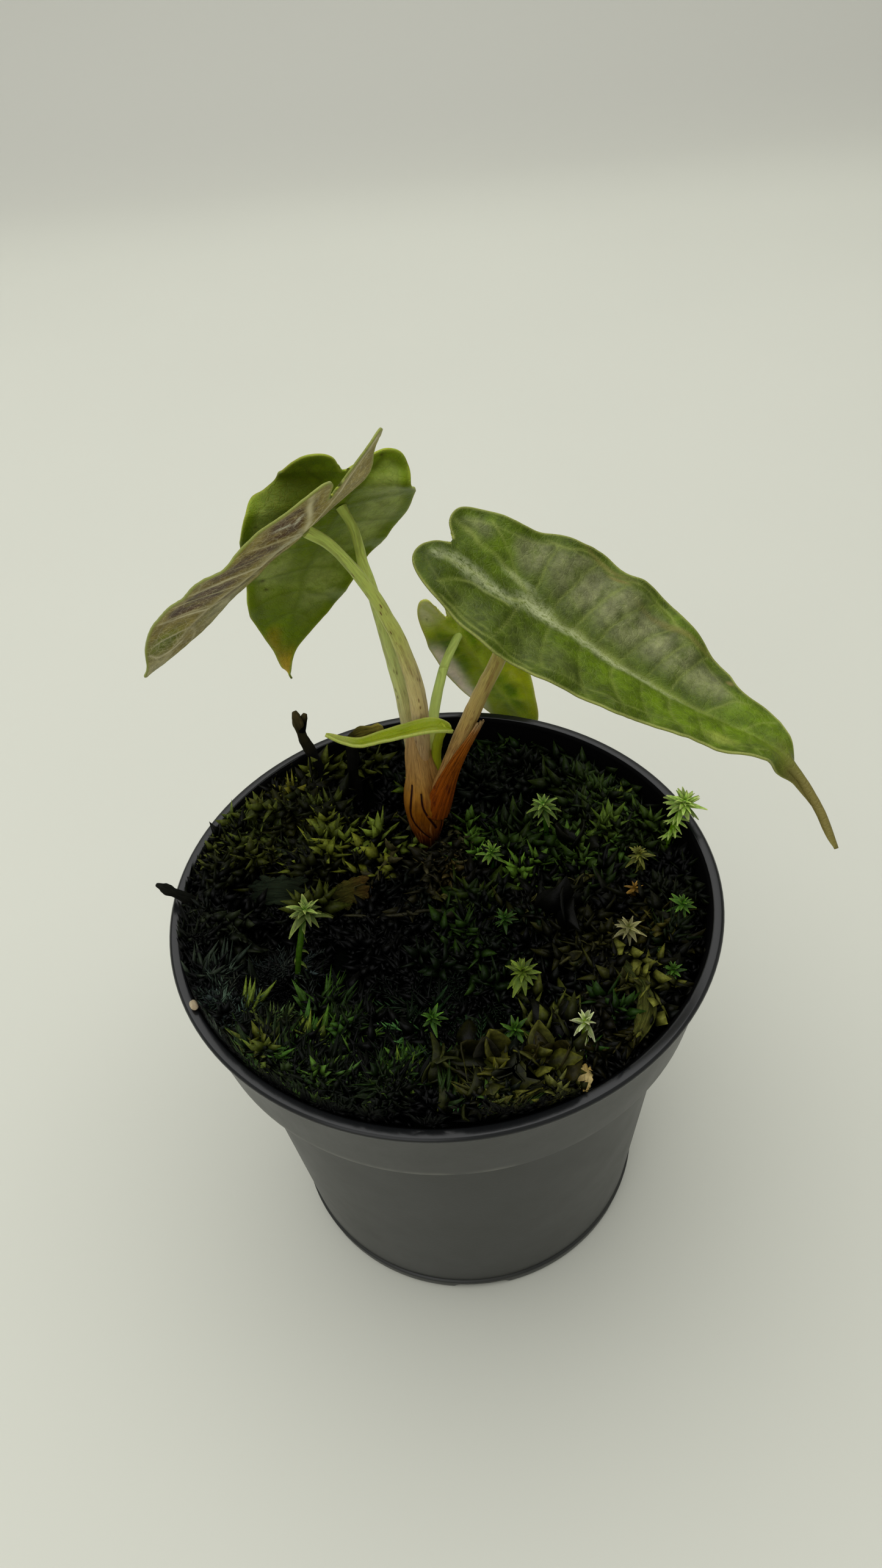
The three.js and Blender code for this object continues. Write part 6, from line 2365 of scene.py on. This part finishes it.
@dataclass(frozen=True)
class Shoots:
    """All the live shoots, each a piece of its own that stands for its solid."""

    shoots: tuple[Shoot, ...] = SHOOTS
    pale: tuple[int, ...] = (4, 5, 7)

    def _star(self, heap: Heap, shoot: Shoot, leaves: Sequence[Form], rng: np.random.Generator) -> None:
        """Adds the star's leaves to a heap, by rings that open from the middle outward.

        Args:
            heap: the heap that grows.
            shoot: the shoot.
            leaves: the modelled leaves.
            rng: the source of its chances.
        """
        base, tip = rgb(shoot.base), rgb(shoot.tip)
        for number in range(shoot.leaves):
            share = (number + 0.5) / shoot.leaves
            lean = 0.15 + 1.45 * share**0.75 + rng.normal() * 0.12
            angle = number * 2.39996 + rng.normal() * 0.15
            aim = ray(lean, angle)
            length = shoot.reach * (0.4 + 0.6 * share) * rng.uniform(0.75, 1.1)
            spin = math.atan2(aim[1], aim[0]) + math.pi / 2
            form = leaves[int(rng.integers(len(leaves)))]
            place = np.asarray(shoot.head) - aim * 0.1 - [0, 0, 0.9 * share]
            tone = rng.uniform(0.4, 1.2) * (1.1 - 0.35 * share)
            heap.add(form.moved(self._outward(aim, spin), place, length), base * tone, tip * tone)

    @staticmethod
    def _outward(aim: Array, spin: float) -> Array:
        """A turn that points +Z along the aim with the leaf's hollow side up.

        Args:
            aim: the way that the leaf points.
            spin: where its side looks if it points straight up, in radians.

        Returns:
            The turn, 3 by 3.
        """
        flat = np.array([-aim[1], aim[0], 0.0])
        side = unit(flat if np.linalg.norm(flat) > 1e-3 else np.array([math.cos(spin), math.sin(spin), 0.0]))
        return np.stack([side, np.cross(aim, side), aim], axis=1)

    def build(self) -> None:
        """Builds each shoot with its stem and dresses it."""
        finish = TintFinish("shoot_leaves", roughness=0.42, dapple=0.4, glow=0.1, sheen=0.1).material()
        for number, shoot in enumerate(self.shoots, start=1):
            rng = np.random.default_rng(400 + number)
            droop = 0.6 * shoot.droop
            leaves = [
                hollow_leaf(
                    rng.uniform(0.075, 0.11), 0.15 + droop * rng.uniform(0.4, 1), rng.uniform(-0.7, 0.7)
                )
                for _ in range(5)
            ]
            heap = Heap()
            self._star(heap, shoot, leaves, rng)
            head, foot = np.array(shoot.head), np.array(shoot.foot)
            middle = foot + (head - foot) * [0.45, 0.45, 0.55]
            track = Track((foot, middle, head))
            for place in range(shoot.stem_leaves):
                share = 0.45 + 0.48 * (place + 0.5) / shoot.stem_leaves
                angle = 0.5 * (place // 2) + math.pi * (place % 2)
                aim = unit(np.array([math.cos(angle), math.sin(angle), 0.35 - shoot.droop]))
                spot = track.at(np.array([share * track.length]))[0]
                form = leaves[int(rng.integers(len(leaves)))]
                form = form.moved(self._outward(aim, 0), spot, shoot.reach * 0.55)
                heap.add(form, rgb(shoot.base) * 0.8, rgb(shoot.tip) * 0.8)
            self._stem(heap, track, rgb(shoot.base) * 0.55)
            piece = heap.piece(f"star_shoot_{number:02d}")
            smooth(piece, 70)
            slot = "moss_star_pale" if number in self.pale else "moss_star"
            settle(piece, slot, [f"moss_shoot_{number:02d}"], [finish])

    @staticmethod
    def _stem(heap: Heap, track: Track, colour: Array) -> None:
        """Adds the shoot's round stem to a heap.

        Args:
            heap: the heap that grows.
            track: the stem's line.
            colour: its colour halfway, as linear red, green and blue.
        """
        points = tuple(tuple(spot) for spot in track.evenly(8))
        stem = Stem(points, ((0, 0.5), (0.7, 0.5), (1, 0.25)), sides=8, rows=12, bumps=0.15)
        tube = stem.build("shoot_stem")
        shade = np.clip((points_of(tube)[:, 2] - 70) / 12, 0, 1)
        heap.add(Form.of(tube, shade), colour * 0.5, colour * 1.6)


# Loose bits on the moss


@dataclass(frozen=True)
class Flake:
    """A flat ragged flake that lies tilted on the moss."""

    name: str
    slot: str
    node: str
    place: Point
    size: tuple[float, float, float]
    heading: float
    tilt: float
    bow: float
    finish: StalkFinish

    def build(self, shared: Shared) -> None:
        """Builds the flake, ragged at its edge and wrinkled, and dresses it.

        Args:
            shared: the groups that its finish uses.
        """
        length, width, thickness = self.size
        grain, grid = Grain(int(length * 10)), Grid(self.name, 28, 36)
        u, v = grid.along - 0.5, 0.5 - grid.across
        ragged = 1 - 0.25 * np.abs(np.sin(5 * u + 7 * v + 1))
        edge = np.stack([u * 9, v * 9], axis=1)
        rim = 1 + 0.26 * grain.layered(edge, 1.1) * (2 * np.maximum(np.abs(u), np.abs(v)))
        x = u * length * ragged * rim
        y = v * (1 - 0.9 * u * u) * width * rim
        z = self.bow * (1 - 4 * u * u) + 0.22 * grain.layered(np.stack([x, y], axis=1), 1.6)
        turn = np.array(Matrix.Rotation(self.heading, 3, "Z") @ Matrix.Rotation(self.tilt, 3, "X"))
        points = np.stack([x, y, z], axis=1) @ turn.T + np.asarray(self.place)
        piece = grid.laid(points, grid.stretched(width, length))
        put_share(piece, "along", grid.along)
        thicken(piece, 0.6 * thickness)
        smooth(piece)
        settle(piece, self.slot, [self.node], [self.finish.material(shared)])


@dataclass(frozen=True)
class LooseBits:
    """The twigs, flakes, dry leaf, scrap and seed on the moss."""

    def build(self, shared: Shared) -> None:
        """Builds and dresses them all.

        Args:
            shared: the groups that their finishes use.
        """
        bark = StalkFinish(
            "twig_bark", ((0, "0a0a07"), (0.6, "11120c"), (1, "1c1c16")), "040403", 0.8, 0.5, 0.9, 0.4, 0.05,
        )
        twig = Stem(
            ((-37, 1.4, 73.6), (-41.2, 1.9, 77.0), (-44.6, 3.2, 78.3), (-47.2, 5.2, 78.0)),
            ((0, 0.6), (0.5, 0.72), (0.7, 0.6), (0.85, 0.95), (0.94, 0.6), (1, 0.35)), 20, 70, 0.2, 0.4, 41,
        )
        settle(twig.build("rim_twig"), "dry_plant", ["twig_over_rim"], [bark.material(shared)])
        dry = StalkFinish(
            "dry_bark", ((0, "020201"), (0.55, "060604"), (0.75, "2a2716"), (1, "5a5030")), "080704",
            0.8, 0.5, 0.9, 0.4, 0.05,
        )
        dry_material = dry.material(shared)
        trunk = Stem(
            ((-18.4, 29.5, 68), (-20.6, 32.8, 75.5), (-23.0, 36.4, 79.2), (-24.2, 38.6, 84.6)),
            ((0, 1.0), (0.5, 0.7), (0.64, 1.25), (0.74, 0.8), (0.86, 1.0), (0.95, 0.75), (1, 0.4)),
            20, 90, 0.25, 0.45, 42,
        ).build("dry_trunk")
        fork = Stem(
            ((-23.4, 37.2, 80.8), (-22.9, 38.0, 82.6), (-22.3, 38.6, 83.9)),
            ((0, 0.7), (0.8, 0.55), (1, 0.3)), 12, 24, 0.2, 0.4, 43,
        ).build("dry_fork")
        settle(joined("forked_dry_twig", [trunk, fork]), "dry_plant", ["forked_dry_stalk"], [dry_material])
        straw = StalkFinish(
            "straw_bark", ((0, "030302"), (0.55, "080804"), (0.7, "343010"), (0.8, "6c6424"), (1, "a09440")),
            "0c0a04", 0.7, 0.4, 0.8, 0.3, 0.05,
        )
        stalk = Stem(
            ((-15.2, 31.5, 68), (-14.8, 34, 74), (-13.6, 36.5, 79.0), (-8.4, 37.0, 80.0)),
            ((0, 1.3), (0.65, 1.0), (0.78, 1.3), (0.88, 0.8), (0.96, 1.05), (1, 0.4)), 20, 90, 0.15, 0.4, 44,
        )
        settle(stalk.build("straw_stalk"), "dry_plant", ["dry_stalk"], [straw.material(shared)])
        grey = StalkFinish(
            "grey_flake_skin", ((0, "11170e"), (0.5, "222a1c"), (1, "161b10")), "070a05",
            0.6, 0.4, 0.9, 0.4, 0.04,
        )
        Flake(
            "grey_chip", "flake", "grey_flake", (-28, 5.2, 73.6), (10, 5.2, 0.9), -0.1, 0.35, 0.5, grey,
        ).build(shared)
        brown = StalkFinish(
            "brown_flake_skin", ((0, "24260c"), (0.5, "3e3a14"), (1, "483616")), "141006",
            0.6, 0.4, 0.9, 0.4, 0.04,
        )
        Flake(
            "brown_chip", "flake", "brown_flake", (-15.6, 3.8, 73.1), (7, 4.4, 0.8), 0.25, 0.45, 0.4, brown,
        ).build(shared)
        scrap = StalkFinish(
            "scrap_skin", ((0, "8c7434"), (0.5, "c8b478"), (1, "a88c40")), "5c4418", 0.6, 0.5, 0.7, 0.25,
        )
        Flake(
            "dry_scrap", "dry_pale", "front_scrap", (17.2, -37.2, 75.9), (4.4, 2.4, 0.8),
            1.3, 0.5, 0.4, scrap,
        ).build(shared)
        self._dry_leaf(shared)
        self._seed(shared)

    @staticmethod
    def _dry_leaf(shared: Shared) -> None:
        """Builds the dry leaf that curls over the moss at the right, a rolled sheet, and dresses it.

        Args:
            shared: the groups that its finish uses.
        """
        track = Track((
            (22.5, -15.4, 73.4), (26.2, -18.6, 76.2), (28.4, -24.6, 76.8), (27.0, -29.6, 76.2),
            (23.0, -33.2, 73.4),
        ))
        grain, grid = Grain(14), Grid("curled_dry_leaf", 24, 90)
        across, along = grid.across, grid.along
        distance = along * track.length
        tangent = track.tangent(distance)
        side = unit(np.cross(tangent, [0.0, 0.0, 1.0]))
        rise = np.cross(side, tangent)
        half = 1.15 * np.sin(math.pi * np.clip(along, 0.03, 0.97)) * (1 + 0.35 * np.sin(11 * along)) + 0.1
        spread = (2 * across - 1) * (1 + 0.1 * grain.at(np.stack([along * 14, across], axis=1), 1))
        sink = 0.8 * spread**2 - 0.3 + 0.25 * np.sin(7 * spread + 9 * along)
        sink += 0.4 * grain.layered(np.stack([along * 20, across * 4], axis=1), 1.5)
        points = track.at(distance) + side * (spread * half)[:, None] - rise * (sink * half)[:, None]
        piece = grid.laid(points, grid.stretched(3.6, track.length))
        put_share(piece, "along", along)
        thicken(piece, 0.3)
        smooth(piece)
        skin = StalkFinish(
            "dry_leaf_skin", ((0, "20260a"), (0.4, "343a10"), (0.75, "4c4e1a"), (1, "2c2c0e")), "101204",
            0.8, 0.5, 0.6, 0.35, 0.12,
        )
        settle(piece, "dry_plant", ["dry_leaf"], [skin.material(shared)])

    @staticmethod
    def _seed(shared: Shared) -> None:
        """Builds the pale seed on the lip at the left and dresses it.

        Args:
            shared: the groups that its finish uses.
        """
        deselect()
        bpy.ops.mesh.primitive_uv_sphere_add(segments=32, ring_count=20, radius=MM)
        piece = bpy.context.object
        piece.name = "pale_seed"
        grain = Grain(15)
        spots = points_of(piece)
        spots = spots * (1 + 0.08 * grain.at(spots * 1.5, 1.0))[:, None] * [0.95, 0.65, 0.6]
        spots[:, 2] -= 0.1 * np.exp(-((spots[:, 1] / 0.25) ** 2)) * (spots[:, 2] > 0)
        turn = np.array(Matrix.Rotation(2.05, 3, "Z"))
        set_points(piece, spots @ turn.T + [-39.3, -18.9, 76.7])
        put_share(piece, "along", np.full(len(spots), 0.5))
        smooth(piece)
        skin = StalkFinish("seed_skin", ((0, "a8977a"), (1, "b8a888")), "6f5c3c", 0.4, 0.5, 0.5, 0.08)
        settle(piece, "dry_pale", ["seed"], [skin.material(shared)])


# Floor, lights and camera



@dataclass(frozen=True)
class Studio:
    """A pale sweep, soft light and the camera of the photograph's view."""

    camera_place: Point = (1.21, -127.14, 222.05)
    camera_right: Point = (0.99553, -0.06542, -0.06813)
    camera_up: Point = (0.09446, 0.68955, 0.71805)
    focal_pixels: float = 1930.0
    long_side_pixels: float = 2569.0
    sensor: float = 36.0
    floor_half: float = 2.2
    bend_starts: float = 0.62
    bend_radius: float = 0.25

    def _sweep(self) -> None:
        """The floor, curved up behind the pot, with painted shade on its upright part."""
        deselect()
        bpy.ops.mesh.primitive_plane_add(size=2, location=(0, 0, 0))
        floor = bpy.context.object
        floor.name = "studio_sweep"
        spots = points_of(floor) * MM
        spots[:, 0] *= self.floor_half
        spots[:, 1] = np.where(spots[:, 1] > 0, self.bend_starts, -self.floor_half)
        set_points(floor, spots / MM)
        bpy.ops.object.mode_set(mode="EDIT")
        bpy.ops.mesh.select_all(action="DESELECT")
        bpy.ops.mesh.select_mode(type="EDGE")
        bpy.ops.object.mode_set(mode="OBJECT")
        for edge in floor.data.edges:
            ends = [floor.data.vertices[number].co.y for number in edge.vertices]
            edge.select = min(ends) > self.bend_starts - 0.01
        bpy.ops.object.mode_set(mode="EDIT")
        steps = 24
        last = (0.0, 0.0)
        for step in range(1, steps + 1):
            angle = step / steps * math.pi / 2
            spot = (self.bend_radius * math.sin(angle), self.bend_radius * (1 - math.cos(angle)))
            bpy.ops.mesh.extrude_region_move(
                TRANSFORM_OT_translate={"value": (0, spot[0] - last[0], spot[1] - last[1])}
            )
            last = spot
        bpy.ops.mesh.extrude_region_move(TRANSFORM_OT_translate={"value": (0, 0, 1.4)})
        bpy.ops.mesh.select_mode(type="VERT")
        bpy.ops.object.mode_set(mode="OBJECT")
        smooth(floor)
        skin = Skin("sweep_paper", Roughness=0.85)
        soft = skin.band(skin.noise(skin.object_place(), 3.0, 3.0), 0.3, 0.7)
        colour = skin.mix(soft, (0.505, 0.51, 0.447, 1), (0.52, 0.525, 0.46, 1))
        # Painted shade: the sweep is darker where it turns up behind the pot.
        far = skin.band(skin.axis(1), 0.5, 0.72)
        skin.feed(skin.shader, {"Base Color": skin.mix(far, colour, (0.42, 0.42, 0.375, 1))})
        floor.data.materials.append(skin.material)

    @staticmethod
    def _area(name: str, place: Point, target: Point, size: float, power: float) -> None:
        """Adds one soft square light.

        Args:
            name: its name.
            place: where it stands, in metres.
            target: where it looks.
            size: its side.
            power: its power in watts.
        """
        deselect()
        bpy.ops.object.light_add(type="AREA", location=place)
        lamp = bpy.context.object
        lamp.name = name
        lamp.data.shape = "SQUARE"
        lamp.data.size = size
        lamp.data.energy = power
        lamp.rotation_mode = "QUATERNION"
        lamp.rotation_quaternion = (Vector(target) - Vector(place)).to_track_quat("-Z", "Y")

    def build(self) -> None:
        """Builds the sweep, the lights and the camera."""
        self._sweep()
        self._area("soft_top", (-0.1, 0.16, 0.95), (0, 0, 0.05), 1.6, 15.6)
        self._area("soft_front", (-0.5, -1.0, 0.55), (0, 0, 0.07), 0.8, 2.4)
        world = bpy.data.worlds.new("studio_air")
        world.use_nodes = True
        backdrop = world.node_tree.nodes["Background"]
        backdrop.inputs["Color"].default_value = (0.99, 1.0, 0.95, 1)
        backdrop.inputs["Strength"].default_value = 0.42
        bpy.context.scene.world = world
        deselect()
        bpy.ops.object.camera_add()
        camera = bpy.context.object
        camera.name = "studio_camera"
        right, up = Vector(self.camera_right), Vector(self.camera_up)
        turn = Matrix((right, up, right.cross(up))).transposed()
        camera.matrix_world = Matrix.Translation(Vector(self.camera_place) * MM) @ turn.to_4x4()
        camera.data.sensor_width = self.sensor
        camera.data.lens = self.focal_pixels / self.long_side_pixels * self.sensor
        camera.data.clip_start, camera.data.clip_end = 0.01, 20
        bpy.context.scene.camera = camera
        bpy.context.scene.view_settings.view_transform = "Standard"


def clearings() -> tuple[tuple[float, float, float, float], ...]:
    """Where the moss keeps low so that shoots and loose bits show.

    Returns:
        The x, the y, the reach and the top of each place.
    """
    heads = [(shoot.head[0], shoot.head[1] - 2.0, 3.6, shoot.head[2] - 3.2) for shoot in SHOOTS]
    heads += [(shoot.foot[0], shoot.foot[1] - 2.6, 3.4, 73.0) for shoot in SHOOTS if shoot.head[2] > 78]
    bits = [
        (-28, 4.4, 5.6, 73.4), (-15.6, 2.6, 4.6, 73.0), (17.2, -37.4, 2.8, 73.6), (26.2, -18.6, 2.6, 75.2),
        (28.4, -24.6, 2.8, 75.4), (26.5, -29.6, 2.8, 74.8), (23, -33.2, 2.6, 74.0), (-42, 0, 3, 75.0),
    ]
    return tuple(heads + bits)


def main() -> None:
    """Builds every part of the plant, its pot and its moss, and the studio round them."""
    logging.basicConfig(level=logging.INFO, format="%(name)s: %(message)s", stream=sys.stdout)
    for stray in [thing for thing in bpy.data.objects if thing.name in {"Cube", "Light", "Camera"}]:
        bpy.data.objects.remove(stray)
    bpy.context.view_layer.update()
    shared = Shared()
    Studio().build()
    Pot().build()
    MossBed(Ground(), clearings()).build(Fronds())
    StemBase().build(shared)
    Stalks().build(shared)
    Sheath().build(shared)
    upper, under = UPPER_SIDE.material(shared), UNDER_SIDE.material(shared)
    back, small, new = BACK_SIDE.material(shared), SMALL_SIDE.material(shared), NEW_SIDE.material(shared)
    LEFT_BLADE.build(upper, under, ["leaf_left"])
    BACK_BLADE.build(back, back, ["leaf_back"])
    RIGHT_BLADE.build(upper, under, ["leaf_right"])
    SMALL_BLADE.build(small, small, ["leaf_small"])
    NEW_BLADE.build(new, new, ["leaf_new"])
    Shoots().build()
    LooseBits().build(shared)


if __name__ == "__main__":
    main()
